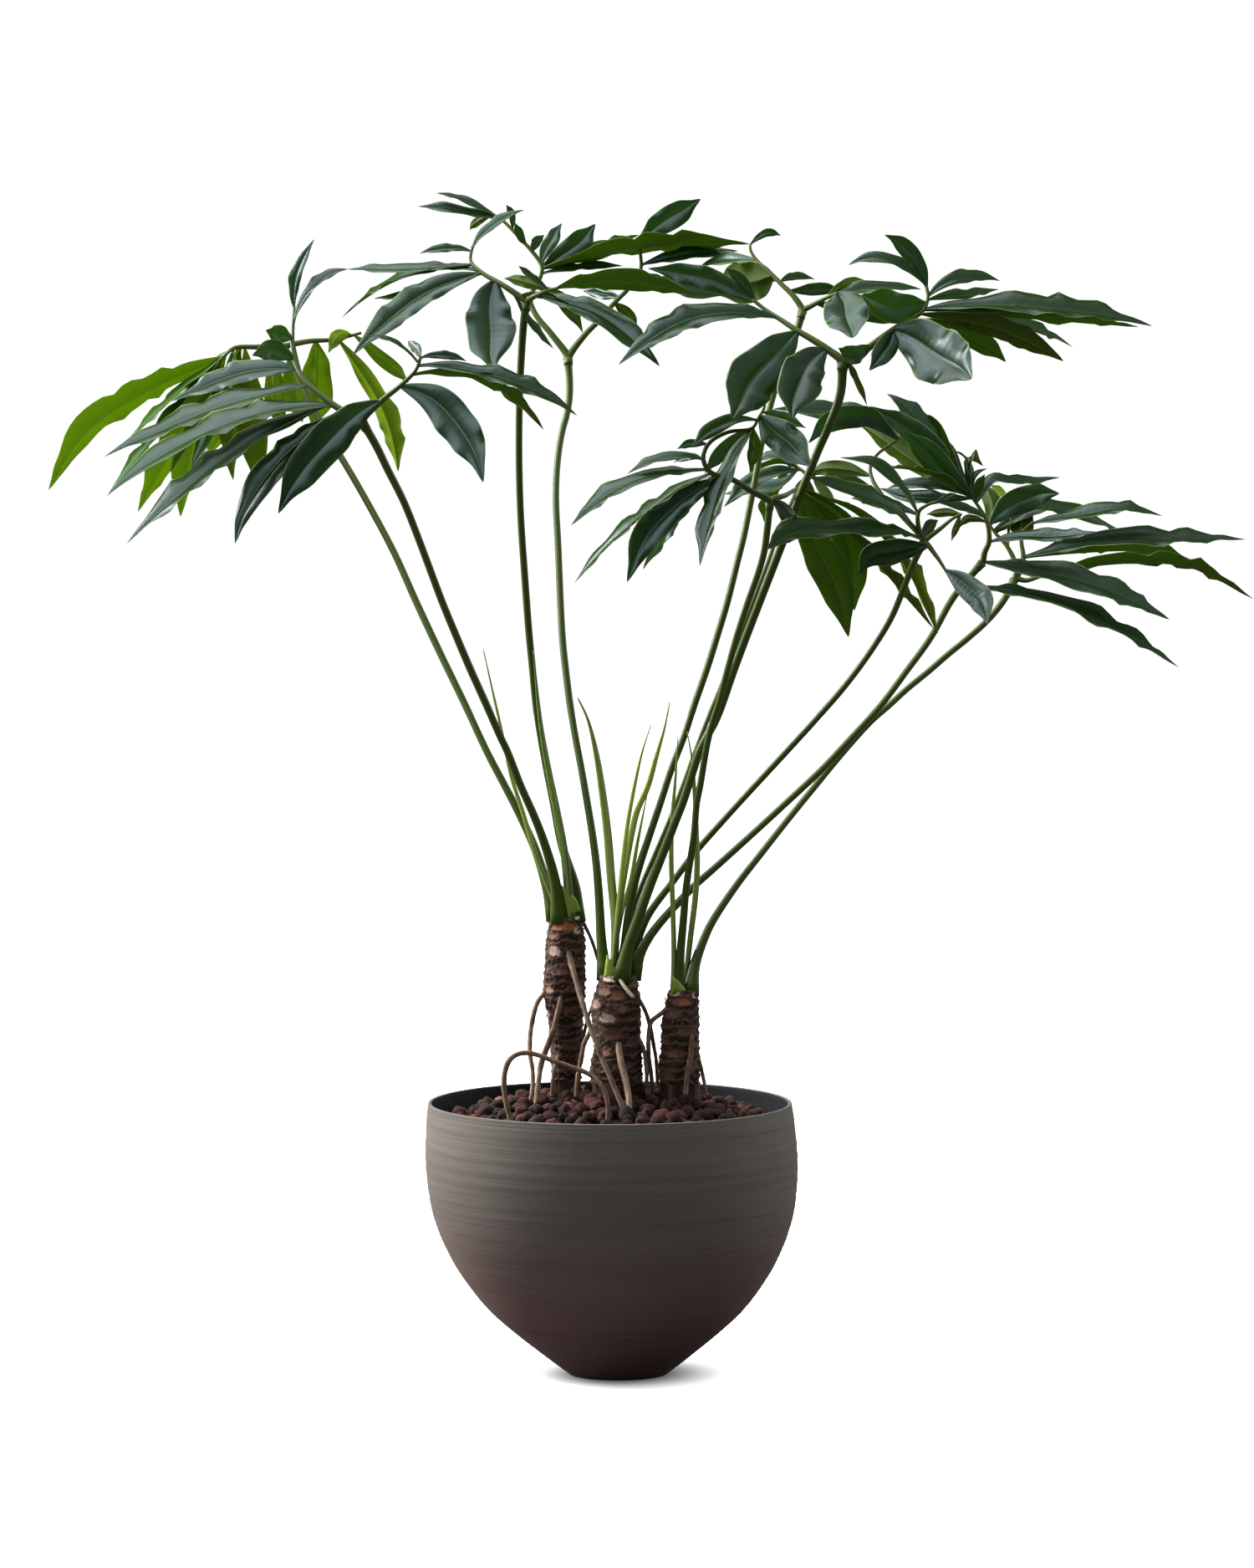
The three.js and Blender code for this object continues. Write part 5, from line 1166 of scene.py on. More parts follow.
# Right of the middle, low: one long leaflet of it points left across the stalks of its neighbours
FRONDS["frond_08"] = dict(
    on="trunk_middle",
    lime=0.0,
    stem=[[750, 1163], [766, 1115], [775, 1095], [785, 1080], [800.5, 1060], [831, 1020], [868, 978],
          [904.5, 938], [941.5, 898], [978, 858], [1012.5, 818], [1042, 778], [1066.5, 738], [1083, 698],
          [1092, 675], [1105, 648]],
    deep=[-7, 8, -5, -30, -60],
    foot=3.5, shaft=2.6,
    ribs=[
        dict(at=[[1105, 648], [1080, 618], [1060, 598], [1050, 585], [1043, 572], [1041, 558],
                 [1048, 545], [1060, 535], [1075, 526]], deep=[0, 10, 22, 38, 50]),
        dict(at=[[1105, 648], [1099, 632], [1099, 612], [1109, 604], [1121, 600]], deep=[0, -2, -4]),
        dict(at=[[1105, 648], [1125, 632], [1140, 620], [1150, 615]], deep=[0, 4, 12]),
        dict(at=[[1105, 648], [1120, 665], [1133, 685]], deep=[0, -6, -12]),
    ],
    leaflets=[
        leaflet([1103, 645], [[1065, 632], [957, 633]], [917, 657], 23, TOP, -100),
        leaflet([1108, 655], [[1078, 658], [1044, 664]], [1027, 686], 31, TOP),
        leaflet([1131, 682], [[1150, 695], [1172, 714]], [1181, 746], 31, TOP, -45),
        leaflet([1099, 640], [[1076, 612], [1030, 588]], [965, 570], 18, TOP, -55),
        leaflet([1099, 614], [[1078, 579], [1046, 553]], [1005, 547], 12, TOP, 5),
        leaflet([1099, 616], [1058, 601], [1018, 596], 14, TOP, 20),
        leaflet([1041, 570], [[1020, 563], [992, 559]], [967, 565], 19, UNDER, 30),
        leaflet([1148, 614], [1144, 630], [1138, 647], 8, UNDER),
        leaflet([1106, 642], [1111, 630], [1122, 622], 14, TOP, 10),
        leaflet([1120, 601], [1132, 595], [1143, 590], 8, TOP),
        leaflet([1150, 614], [1130, 613], [1108, 615], 11, UNDER, 15),
        leaflet([1075, 526], [[1034, 496], [970, 489]], [925, 489], 22, TOP),
        leaflet([1075, 526], [[1036, 498], [992, 505]], [967, 530], 28, TOP, -25),
    ],
)

# Right: its rib turns back up to a tuft, and two long leaflets point out to the right
FRONDS["frond_09"] = dict(
    on="trunk_middle",
    lime=0.0,
    stem=[[759, 1166], [765, 1142], [775, 1123], [790, 1103], [808, 1083], [830, 1060], [852.5, 1040],
          [897, 1000], [940.5, 960], [983, 920], [1020.5, 880], [1054, 843], [1084, 803], [1113, 763],
          [1135, 723], [1145, 708], [1160, 690], [1175, 673]],
    deep=[-15, 12, 40, 72, 100],
    foot=3.8, shaft=2.8,
    ribs=[
        dict(at=[[1175, 673], [1178, 660], [1183, 648], [1181, 625], [1170, 605], [1160, 592]],
             deep=[0, -2, 0, 6]),
    ],
    leaflets=[
        leaflet([1177, 673], [[1243, 681], [1322, 700]], [1399, 741], 28, TOP, -30),
        leaflet([1154, 700], [[1232, 709], [1328, 743]], [1410, 798], 17, TOP, -45),
        leaflet([1183, 648], [[1220, 640], [1270, 639]], [1313, 636], 15, TOP, -25),
        leaflet([1162, 596], [1121, 554], [1080, 515], 31, TOP, -40),
        leaflet([1160, 593], [1108, 530], [1041, 486], 30, TOP, -5),
        leaflet([1161, 593], [1107, 509], [1061, 471], 23, TOP, 30),
        leaflet([1163, 596], [1136, 548], [1114, 508], 20, TOP, 25),
        leaflet([1162, 595], [[1136, 550], [1119, 508]], [1089, 499], 15, UNDER, 35),
        leaflet([1158, 592], [1090, 545], [1022, 502], 30, UNDER, 65),
        leaflet([1159, 593], [[1125, 569], [1088, 558]], [1054, 559], 5, UNDER, -60),
        leaflet([1160, 594], [1110, 577], [1062, 584], 15, TOP, 10),
        leaflet([1162, 597], [1105, 594], [1052, 584], 17, TOP, 30),
        leaflet([1179, 622], [1158, 608], [1124, 602], 10, TOP, -20),
        leaflet([1180, 626], [1160, 620], [1148, 631], 10, UNDER, 10),
        leaflet([1164, 598], [1159, 585], [1158, 568], 15, UNDER),
        leaflet([1166, 600], [1170, 583], [1178, 567], 12, UNDER, -15),
        leaflet([1165, 598], [[1162, 578], [1169, 565]], [1181, 560], 7, TOP, 10),
        leaflet([1163, 596], [[1162, 566], [1155, 546]], [1140, 538], 5, TOP, 25),
        leaflet([1163, 597], [[1157, 560], [1162, 544]], [1176, 557], 6, TOP, 30),
        leaflet([1168, 602], [[1188, 572], [1226, 574]], [1268, 571], 12, TOP, 20),
    ],
)

# Far right, behind: it leaves the right trunk low and spreads widest
FRONDS["frond_10"] = dict(
    on="trunk_right",
    lime=0.0,
    stem=[[827, 1184], [831, 1155], [842, 1123], [851.5, 1103], [880, 1060], [911, 1020], [942.5, 980],
          [975, 940], [1008, 900], [1041.5, 863], [1064, 843], [1086, 823], [1110.5, 803], [1133.5, 783],
          [1158, 763], [1180, 743], [1197, 723], [1208, 705], [1213, 693]],
    deep=[-16, 22, 75, 130, 180],
    foot=4, shaft=2.8,
    ribs=[
        dict(at=[[1213, 693], [1216, 681], [1212, 667], [1203, 651], [1191, 638], [1182, 625]],
             deep=[0, 8, 14]),
        dict(at=[[1215, 693], [1224, 668], [1222, 650], [1222, 638], [1236, 624]], deep=[0, 8, 18]),
        dict(at=[[1215, 693], [1228, 694], [1242, 690], [1258, 685]], deep=[0, -4, -12]),
    ],
    leaflets=[
        leaflet([1245, 690], [[1320, 671], [1425, 674]], [1499, 716], 17, UNDER, -10),
        leaflet([1225, 667], [[1300, 647], [1395, 640]], [1490, 645], 20, TOP, 10),
        leaflet([1236, 626], [[1285, 615], [1345, 605]], [1390, 617], 15, TOP, 0),
        leaflet([1190, 634], [[1240, 604], [1295, 614]], [1345, 638], 21, TOP, 65),
        leaflet([1226, 667], [[1290, 657], [1360, 654]], [1430, 672], 14, UNDER, 80),
        leaflet([1184, 626], [[1207, 606], [1238, 592]], [1267, 590], 34, TOP, -30),
        leaflet([1186, 628], [1186, 602], [1176, 578], 22, UNDER, 20),
        leaflet([1192, 637], [1198, 630], [1209, 627], 10, TOP, 15),
        leaflet([1222, 645], [1221, 625], [1222, 600], 34, UNDER, 25),
        leaflet([1205, 655], [1204, 605], [1184, 580], 5, UNDER, 60),
    ],
)

# Middle, far behind: a thin stalk with a small tuft
FRONDS["frond_11"] = dict(
    on="trunk_middle",
    lime=0.1,
    stem=[[740.5, 1160], [750, 1110], [767, 1060], [784, 1020], [801, 980], [816.5, 940], [831, 900],
          [846.5, 860], [863, 820], [879, 780], [893, 740], [908, 700], [919.5, 670], [928, 645],
          [937, 622], [947, 602], [955, 585], [965, 570]],
    deep=[-6, 14, 50, 90, 130],
    foot=2.3, shaft=1.9,
    ribs=[
        dict(at=[[965, 570], [956, 560], [942, 556]], deep=[0, 6, 14]),
        dict(at=[[965, 570], [982, 566], [1000, 572]], deep=[0, 2, 8]),
    ],
    leaflets=[
        leaflet([958, 562], [[930, 563], [897, 576]], [866, 606], 18, TOP, -20),
        leaflet([955, 562], [[933, 578], [900, 584]], [866, 591], 14, TOP, 25),
        leaflet([956, 560], [[937, 547], [917, 545]], [900, 557], 10, TOP, 20),
        leaflet([957, 561], [[935, 551], [912, 556]], [890, 572], 8, UNDER, 5),
        leaflet([966, 571], [961, 600], [961, 646], 33, UNDER),
        leaflet([972, 569], [986, 588], [1001, 613], 13, UNDER, -20),
        leaflet([945, 557], [[930, 578], [919, 597]], [914, 624], 18, UNDER, 60),
        leaflet([975, 568], [1015, 571], [1054, 592], 9, TOP, 20),
    ],
)


def vein_group():
    """Where a leaflet's midrib, side veins and pale edge lie, from how far along and across it a point is"""
    group, given, result = new_group("leaf_veins", {"Along": "Float", "Across": "Float", "Pairs": "Float"},
                                     ["Midrib", "Veins", "Edge", "Quilting"])
    side = maths(group, "ABSOLUTE", given["Across"])
    slant = maths(group, "SUBTRACT", 1.0, maths(group, "POWER", given["Along"], 2.0))
    lean = times(group, maths(group, "POWER", side, 0.8), slant)
    count = maths(group, "SUBTRACT", times(group, given["Along"], given["Pairs"]), lean)
    off = maths(group, "ABSOLUTE", maths(group, "SUBTRACT", maths(group, "FRACT", count), 0.5))
    fade = times(group, eased(group, side, 0.55, 0.95, 1.0, 0.0),
                 eased(group, given["Along"], 0.7, 0.92, 1.0, 0.0))
    group.links.new(eased(group, side, 0.015, 0.05, 1.0, 0.0), result["Midrib"])
    group.links.new(times(group, eased(group, off, 0.0, 0.09, 1.0, 0.0), fade), result["Veins"])
    group.links.new(eased(group, side, 0.93, 0.975, 0.0, 1.0), result["Edge"])
    group.links.new(times(group, eased(group, off, 0.0, 0.5), fade), result["Quilting"])
    return group


LEAF_VEINS = vein_group()
VEIN_PAIRS = 15.0


def leaf_finish(name, look):
    """One face of a leaflet, from its look: colours, gloss, how much light comes through, and a painted lime
    glow of backlight
    """
    material, tree, out = new_finish(name)
    rough = rough_grain(tree, node(tree, "TexCoord").outputs["Object"], 260.0)
    # Painted backlight: a share that tints the face lime as if light shone through it from behind; it also
    # lets more real light through
    lime = mark_of(tree, "lime")
    veins = node(tree, "Group", {
        "Along": mark_of(tree, "run"), "Across": mark_of(tree, "across"), "Pairs": VEIN_PAIRS,
    }, node_tree=LEAF_VEINS).outputs
    colour = tinted(tree, shade(look["dark"]), mark_of(tree, "tone"), look["light"])
    colour = tinted(tree, colour, eased(tree, rough["Clouds"], 0.35, 0.7, 0.0, 0.35), look["cloud"])
    # Painted backlight: the colour turned lime-green where the leaflet is lit from behind
    colour = tinted(tree, colour, lime, look["lime"])
    colour = tinted(tree, colour, times(tree, veins["Veins"], look["vein_share"]), look["vein"])
    colour = tinted(tree, colour, times(tree, veins["Midrib"], look["rib_share"]), look["rib"])
    colour = tinted(tree, colour, times(tree, veins["Edge"], 0.75), "a9bf6e")
    relief = maths(tree, "SUBTRACT", veins["Quilting"], times(tree, veins["Midrib"], look["rib_sunk"]))
    normal = bumped(tree, relief, 0.1, 0.4)
    edge_on = node(tree, "LayerWeight", {"Blend": 0.5}).outputs["Facing"]
    shader = node(tree, "BsdfPrincipled", {
        "Base Color": colour, "Specular Tint": (0.72, 0.88, 1.0, 1.0), "Normal": normal,
        "Roughness": eased(tree, rough["Clouds"], 0.3, 0.7, look["gloss"], look["gloss"] + 0.1),
        "Specular IOR Level": eased(tree, edge_on, 0.1, 0.6, look["shine"], 0.03),
    })
    through = node(tree, "BsdfTranslucent", {
        "Color": tinted(tree, shade(look["through"]), lime, "a4c000"), "Normal": normal,
    })
    thin = maths(tree, "MULTIPLY_ADD", lime, 0.15, 0.34)
    both = node(tree, "MixShader", {0: thin, 1: shader.outputs[0], 2: through.outputs[0]})
    tree.links.new(both.outputs[0], out.inputs["Surface"])
    return material


def green_stalk(tree, place):
    """Smooth dark green stalk, paler where it is young"""
    rough = rough_grain(tree, place, 60.0)
    colour = tinted(tree, shade("3c4d0d"), mark_of(tree, "tone"), "4e6317")
    return {
        "Base Color": tinted(tree, colour, eased(tree, rough["Clouds"], 0.4, 0.7, 0.0, 0.3), "34430f"),
        "Roughness": eased(tree, rough["Clouds"], 0.3, 0.7, 0.38, 0.46), "Specular IOR Level": 0.32,
    }


# Each look's lime-green colour is its painted backlight glow
LEAF_TOP = leaf_finish("leaf_top", dict(
    dark="1a3011", light="264317", cloud="1c351d", lime="5f9a10", through="6ba000", gloss=0.27, shine=0.9,
    vein="34552a", vein_share=0.12, rib="5f7a40", rib_share=0.5, rib_sunk=0.8,
))
LEAF_UNDER = leaf_finish("leaf_under", dict(
    dark="44540e", light="546612", cloud="4a5c1a", lime="8aa80a", through="84a000", gloss=0.5, shine=0.3,
    vein="657f2e", vein_share=0.2, rib="95a650", rib_share=0.7, rib_sunk=-0.8,
))
STALK = finish("green_stalk", green_stalk)


def blade_shape(t, full):
    """Half-width of a blade at t, as a share of its greatest, fuller towards both ends on a broad one"""
    rise, fall = OUTLINE_RISE * (1 - full), OUTLINE_FALL * (1 - full)
    widest = rise / (rise + fall)
    late = np.clip((t - 0.74) / 0.2, 0, 1)
    drawn = 1 - 0.4 * late * late * (3 - 2 * late)
    return (t / widest) ** rise * ((1 - t) / (1 - widest)) ** fall * drawn


def nearest(lines, seen_at):
    """Nearest place on a frond's stalk and ribs to a seen point"""
    best = None
    for line in lines:
        flat = np.array([seen(seen_at[0], seen_at[1], point[1] / MM) for point in line])
        gaps = np.linalg.norm(flat - line, axis=1)
        i = int(gaps.argmin())
        if best is None or gaps[i] < best[0]:
            best = (gaps[i], line[i])
    return best[1]


def blade_spine(base, spec, reach, t):
    """Places and directions along a leaflet: an arc through one seen place, or a double bend through two"""
    tip = seen(*spec["tip"], (base[1] + reach) / MM)
    share = t[:, None]
    if isinstance(spec["via"][0], list):
        bends = [seen(px, py, (base[1] + reach * part) / MM)
                 for (px, py), part in zip(spec["via"], BENT_REACH)]
        steps = np.linspace(0, 1, 4 * BLADE_ROWS)
        line = smooth_line([base, *bends, tip], len(steps))
        spine = places_at(t, steps, line)
        forward = places_at(t, steps, np.gradient(line, axis=0))
    else:
        middle = seen(*spec["via"], (base[1] + reach * MIDDLE_REACH) / MM)
        control = 2 * middle - (base + tip) / 2
        spine = (1 - share) ** 2 * base + 2 * share * (1 - share) * control + share ** 2 * tip
        forward = 2 * (1 - share) * (control - base) + 2 * share * (tip - control)
    return spine, forward / np.linalg.norm(forward, axis=1)[:, None]


def facing_of(chord, shown, side):
    """Way that a blade's upper face points, so that it shows the given share of its width to the eye"""
    ahead = chord / np.linalg.norm(chord)
    level = np.cross([0, 1, 0], ahead)
    level /= np.linalg.norm(level)
    away = np.cross(ahead, level)
    open_share = -shown if away[1] * side > 0 else shown
    turned = math.sqrt(1 - shown * shown) * (-1 if level[2] < 0 else 1)
    return away * open_share + level * turned


def blade_frame(lines, spec, t, draw):
    """A leaflet's midrib, the ways its face and edge point, its seen width, its own width and its length"""
    base = nearest(lines, spec["base"])
    span = np.linalg.norm(seen(*spec["tip"], base[1] / MM) - base)
    broad = spec["width"] * PIXEL_SIZE
    length = max(span, LENGTH_PER_WIDTH * broad)
    own_reach = min(math.sqrt(length * length - span * span), DEEPEST_REACH * MM)
    reach = -spec["side"] * own_reach if spec["reach"] is None else spec["reach"] * MM
    spine, forward = blade_spine(base, spec, reach, t)
    whole = np.linalg.norm(np.diff(spine, axis=0), axis=1).sum()
    natural = max(broad, whole / SLENDERNESS)
    facing = facing_of(spine[-1] - base, min(broad / natural, 1), spec["side"])
    flat = facing - forward * (forward @ facing)[:, None]
    flat /= np.linalg.norm(flat, axis=1)[:, None]
    level = np.cross(flat, forward)
    twist = draw.uniform(-MOST_TWIST, MOST_TWIST) * (t[:, None] - 0.4)
    normal = flat * np.cos(twist) + level * np.sin(twist)
    across = level * np.cos(twist) - flat * np.sin(twist)
    return spine, normal, across, broad, natural, whole


def blade_rings(lines, spec, draw):
    """Rings of a leaflet from its stalk to its tip, and how far along and across it each of them is"""
    t = (1 - np.cos(np.pi * np.linspace(0, 1, BLADE_ROWS) ** 0.9)) / 2
    spine, normal, across, broad, natural, whole = blade_frame(lines, spec, t, draw)
    full = min(max(broad / whole - 0.25, 0), 0.3)
    half = (natural / 2 * blade_shape(t, full))[:, None]
    waves = draw.uniform(*WAVE_COUNT) * min(max(whole / (WAVED_LENGTH * MM), 0.7), 1.6)
    shifts = draw.uniform(0, 1, 3)
    share = t[:, None]
    s = ACROSS[None, :]
    off = np.abs(s)
    uneven = share + 0.07 * np.sin(2 * np.pi * (1.3 * share + shifts[2]))
    swing = np.where(s > 0, np.sin(2 * np.pi * (waves * uneven + shifts[0])),
                     np.sin(2 * np.pi * (waves * 0.9 * uneven + shifts[1])))
    settled = np.clip(share * 5, 0, 1) * np.clip((1 - share) * 8, 0.3, 1)
    ruffle = swing + 0.5 * np.sin(2 * np.pi * (waves * 1.7 * uneven + shifts[0] + 0.3 * np.sign(s)))
    edge_wave = BLADE_WAVE * half * off ** 2.2 * ruffle * settled
    lift = BLADE_FOLD * half * off + BLADE_ARCH * half * np.sin(np.pi * off) + edge_wave - BLADE_FOLD * half
    bow = SIDE_BOW * natural * np.sin(2 * np.pi * (share * 1.2 + shifts[2])) * np.sin(np.pi * share)
    stalk = np.exp(-t / 0.045)[:, None] * LEAF_STALK * MM
    wide = half * s * (1 + OUTLINE_SWING * swing * off) + bow + np.sign(s) * stalk * off
    rib = np.exp(-(s / 0.07) ** 2) * (0.35 + 0.35 * (1 - share)) * MM
    thick = BLADE_THICK * MM * (0.35 + 0.65 * (1 - off ** 4)) / 2 + stalk * np.sqrt(1 - 0.9 * s * s)
    fade = np.clip((1 - share) / 0.06, 0.3, 1)
    upper = lift + thick * fade - 0.25 * rib * fade
    lower = lift - thick * fade - 0.9 * rib * fade
    spread = spine[:, None, :] + across[:, None, :] * wide[..., None]
    top = spread + normal[:, None, :] * upper[..., None]
    bottom = spread + normal[:, None, :] * lower[..., None]
    rings = np.concatenate([top, bottom[:, ::-1]], axis=1)
    run = np.repeat(t, 2 * len(ACROSS))
    over = np.tile(np.concatenate([ACROSS, ACROSS[::-1]]), BLADE_ROWS)
    return rings, run, over


BLADE_ROW = [0] * len(ACROSS) + [1] * (len(ACROSS) - 1) + [0]
BLADE_FINISHES = np.repeat(BLADE_ROW * (BLADE_ROWS - 1), 2).tolist() + [0, 0]


def split_alike(faces, sides):
    """A blade's quads cut along the same lines above and below, so that its two faces never cross"""
    halves = []
    for index, (a, b, c, d) in enumerate(faces[:-2]):
        above = index % sides < sides // 2
        halves += [[a, b, c], [a, c, d]] if above else [[a, b, d], [b, c, d]]
    return halves + faces[-2:]


def frond_parts(frond, draw):
    """A frond's stalk, ribs and leaflets, gathered as the parts of one piece"""
    parts = new_parts("run", "across", "tone", "lime")
    stem = smooth_line(traced(frond["stem"], frond["deep"], frond["on"]), STEM_STEPS)
    length = np.linalg.norm(np.diff(stem, axis=0), axis=1).sum()
    share = np.linspace(0, 1, STEM_STEPS)
    thickness = [frond["foot"]] + [part * frond["shaft"] for part in STEM_TAPER]
    radii = np.array([along(thickness, t) for t in share]) * MM
    flare = np.exp(-share * length / (FOOT_FLARE_LENGTH * MM))
    swell = 1 + KNUCKLE_SWELL * np.exp(-((1 - share) * length / (5 * MM)) ** 2)
    wide = radii * (1 + FOOT_FLARE_WIDE * flare) * swell
    deep = radii * (1 + FOOT_FLARE_DEEP * flare) * swell
    line = stem.copy()
    line[0] -= (stem[1] - stem[0]) / np.linalg.norm(stem[1] - stem[0]) * FOOT_SUNK * MM
    tone = np.repeat(0.25 + 0.35 * share + 0.3 * np.exp(-share * 12), STEM_SIDES)
    add_part(parts, *skin(stalk_rings(line, wide, deep, STEM_SIDES)), 2, tone=tone)
    lines = [stem]
    share = np.linspace(0, 1, RIB_STEPS)
    radii = np.array([along(RIB_TAPER, t) * frond["shaft"] * MM for t in share])
    radii *= 1 + 0.35 * np.exp(-share * 14)
    start = stem[-1] - (stem[-1] - stem[-4]) / np.linalg.norm(stem[-1] - stem[-4]) * KNUCKLE * MM
    for rib in frond["ribs"]:
        places = traced(rib["at"], [depth + frond["deep"][-1] for depth in rib["deep"]])
        line = smooth_line([start, *places], RIB_STEPS)
        add_part(parts, *skin(stalk_rings(line, radii, radii, RIB_SIDES)), 2, tone=0.6)
        lines.append(line)
    for spec in frond["leaflets"]:
        rings, run, across = blade_rings(lines, spec, draw)
        points, faces = skin(rings)
        tone = draw.uniform(0.1, 0.9)
        # Painted backlight is laid fully on undersides, which face the eye where a leaflet hangs with the
        # light behind it, and less than half as much on tops
        backlight_by_face = 1.0 if spec["side"] == UNDER else 0.45
        lime = min(max(frond["lime"] * backlight_by_face * draw.uniform(0.7, 1.1), 0), 1)
        add_part(parts, points, split_alike(faces, len(rings[0])), BLADE_FINISHES,
                 run=run, across=across, tone=tone, lime=lime)
    return parts


for number, (name, frond) in enumerate(FRONDS.items()):
    parts = frond_parts(frond, np.random.default_rng(200 + number))
    thing = joined(name + "_leaves", parts, [LEAF_TOP, LEAF_UNDER, STALK])
    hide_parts(name)


# The young leaves
# New leaves that are still rolled up in their sheaths stand as slim lime-green spikes between the stalks,
# each with the seam of its rolled edge running up it.
SPIKE_SIDES = 16
SPIKE_STEPS = 60

SPIKES = {
    "spike_left_back": dict(
        on="trunk_left",
        pale=0.75,
        at=[[668.5, 1094], [655, 1060], [640, 1020], [625, 970], [612, 930], [598, 865], [590, 830],
            [578, 776]],
        deep=[10, 10, 8, 6],
        radii=[2.1, 2, 1.7, 1.2, 0.4],
    ),
    "spike_left_front": dict(
        on="trunk_left",
        pale=0.15,
        at=[[683, 1094], [680, 1065], [675, 1020], [666, 970], [656, 920], [646, 860], [638, 778]],
        deep=[1, -3, -8, -14],
        radii=[3.6, 3.4, 2.8, 1.8, 0.5],
    ),
    "spike_middle_left": dict(
        on="trunk_middle",
        pale=0.35,
        at=[[734, 1165], [736, 1110], [731, 1050], [727, 1000], [721, 950], [713, 900], [703, 860],
            [691, 834]],
        deep=[-20, -20, -20, -21],
        radii=[3.2, 3.5, 3.4, 2.6, 0.6],
    ),
    "spike_middle_pale": dict(
        on="trunk_middle",
        pale=1.0,
        at=[[732, 1167], [736, 1120], [740, 1080], [745, 1030], [750, 990], [758, 945], [768, 900],
            [779, 866]],
        deep=[-28, -27, -26, -25],
        radii=[2, 1.9, 1.8, 1.5, 0.4],
    ),
    "spike_middle_tall": dict(
        on="trunk_middle",
        pale=0.85,
        at=[[734, 1163], [742, 1080], [748, 1040], [755, 1000], [762, 970], [775, 940], [785, 905],
            [795, 870], [801, 840]],
        deep=[-12.5, -12, -12, -12],
        radii=[2.1, 2.2, 2.6, 2.2, 0.4],
    ),
    "spike_middle_short": dict(
        on="trunk_middle",
        pale=0.75,
        at=[[731, 1160], [744, 1090], [755, 1050], [762, 1010], [768, 980], [775, 945]],
        deep=[-6.5, -4, -3, -3],
        radii=[1.8, 1.8, 1.6, 0.4],
    ),
    "spike_right_left": dict(
        on="trunk_right",
        pale=0.45,
        at=[[804.5, 1186], [806, 1150], [805, 1090], [803, 1030], [804, 980], [808, 930], [811, 881]],
        deep=[-20.5, -21, -20, -19],
        radii=[2, 2.1, 2, 1.5, 0.4],
    ),
    "spike_right_back": dict(
        on="trunk_right",
        pale=0.3,
        at=[[819, 1182], [826, 1120], [832, 1070], [834, 1030], [833, 1000], [831, 950], [828, 910],
            [822, 875]],
        deep=[-9.5, -10, -11, -13],
        radii=[2.2, 2.4, 2.4, 1.8, 0.4],
    ),
}


def young_sheath(tree, place):
    """Satin sheath that goes from deep green at its foot to lime, with a pale seam"""
    fibres = streaks(tree, place, (1100.0, 1100.0, 35.0))
    young = tinted(tree, shade("4c6a1e"), mark_of(tree, "tone"), "a6bd3c")
    colour = mixed(tree, eased(tree, mark_of(tree, "run"), 0.0, 0.45), shade("3e5c1f"), young)
    colour = tinted(tree, colour, eased(tree, fibres, 0.5, 0.7, 0.0, 0.4), "b9cc62")
    colour = tinted(tree, colour, times(tree, mark_of(tree, "across"), 0.6), "c9d68c")
    return {
        "Base Color": colour, "Roughness": eased(tree, fibres, 0.3, 0.7, 0.38, 0.5),
        "Normal": bumped(tree, fibres, 0.25, 0.3),
    }


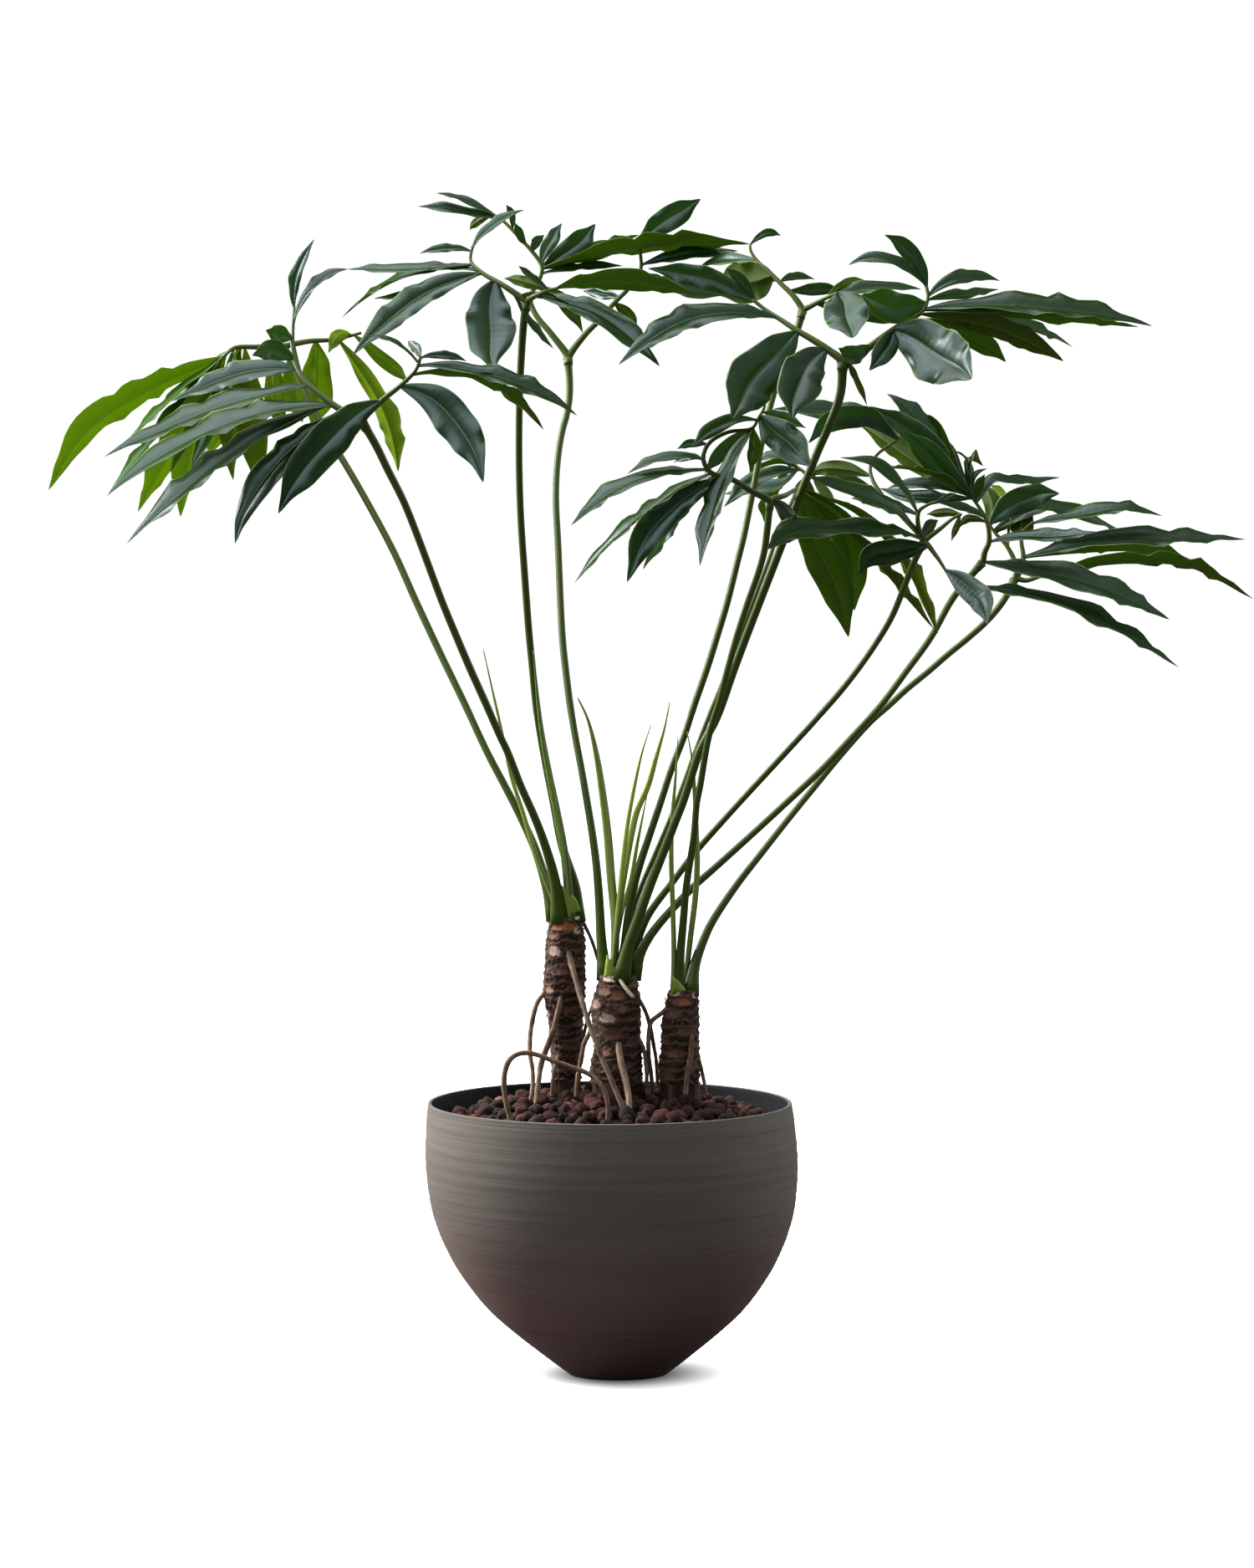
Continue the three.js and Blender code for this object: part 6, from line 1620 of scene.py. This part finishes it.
SHEATH = finish("young_sheath", young_sheath)
share = np.linspace(0, 1, SPIKE_STEPS)
turn = 2 * np.pi * np.arange(SPIKE_SIDES) / SPIKE_SIDES
around = (turn[None, :] - (-1.9 + 1.2 * share[:, None]) + np.pi) % (2 * np.pi) - np.pi
seam = np.exp(-(around / 0.28) ** 2)
rolled = 1 + 0.09 * seam - 0.08 * np.exp(-((around + 0.55) / 0.3) ** 2)
for name, spike in SPIKES.items():
    line = smooth_line(traced(spike["at"], spike["deep"], spike["on"]), SPIKE_STEPS)
    line[0, 2] -= FOOT_SUNK * MM
    radii = np.array([max(along(spike["radii"], t), 0.25) * MM for t in share])[:, None] * rolled
    parts = new_parts("run", "across", "tone")
    add_part(parts, *skin(stalk_rings(line, radii, radii * 0.92, SPIKE_SIDES)),
             run=np.repeat(share, SPIKE_SIDES), across=seam.reshape(-1), tone=spike["pale"])
    thing = joined(name + "_sheath", parts, [SHEATH])
    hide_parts(name)


# The crown sheaths
# Short green wedges, the last of the sheaths that wrapped each young leaf, clasp the stalks' feet on top of
# each trunk, and the dry end of an old stalk is left on the middle one.
WEDGE_STEPS = 12
WEDGES = [
    dict(at=[[687, 1092], [682, 1077], [671, 1058]], depth=-1, wide=[5.4, 4.4, 0.4], deep=2.2, young=0.45),
    dict(at=[[732, 1166], [729, 1155], [726, 1142]], depth=-28, wide=[6.4, 3.4, 0.4], deep=2.4, young=0.75),
    dict(at=[[812, 1187], [809, 1178], [804, 1166]], depth=-23, wide=[6.2, 3.4, 0.4], deep=2.2, young=0.55),
]
STUB = dict(at=[[741, 1171, -33], [748, 1181, -38], [758, 1193, -41]], radii=[1.3, 1.5, 1.3])


def dead_stalk(tree, place):
    """Cream, papery end of a dead stalk, streaked lengthwise"""
    fibres = node(tree, "TexNoise", {"Vector": place, "Scale": 900.0, "Detail": 3.0}).outputs[0]
    return {"Base Color": tinted(tree, shade("a89679"), eased(tree, fibres, 0.35, 0.65), "d9ccb2"),
            "Roughness": 0.75}


share = np.linspace(0, 1, WEDGE_STEPS)
parts = new_parts("run", "across", "tone")
for wedge in WEDGES:
    line = smooth_line([seen(px, py, wedge["depth"]) for px, py in wedge["at"]], WEDGE_STEPS)
    wide = np.array([along(wedge["wide"], t) for t in share]) * MM
    deep = np.minimum(wide, wedge["deep"] * MM)
    add_part(parts, *skin(stalk_rings(line, wide, deep, SPIKE_SIDES)),
             run=np.repeat(0.3 + 0.7 * share, SPIKE_SIDES), tone=wedge["young"])
sheaths = joined("crown_sheaths", parts, [SHEATH])

stub_line = smooth_line([seen(*spot) for spot in STUB["at"]], WEDGE_STEPS)
stub_radii = np.interp(share, [0, 0.8, 1], STUB["radii"]) * MM
stub = piece("dry_stub", *skin(stalk_rings(stub_line, stub_radii, stub_radii, SPIKE_SIDES)),
             [finish("dry_stub", dead_stalk)])
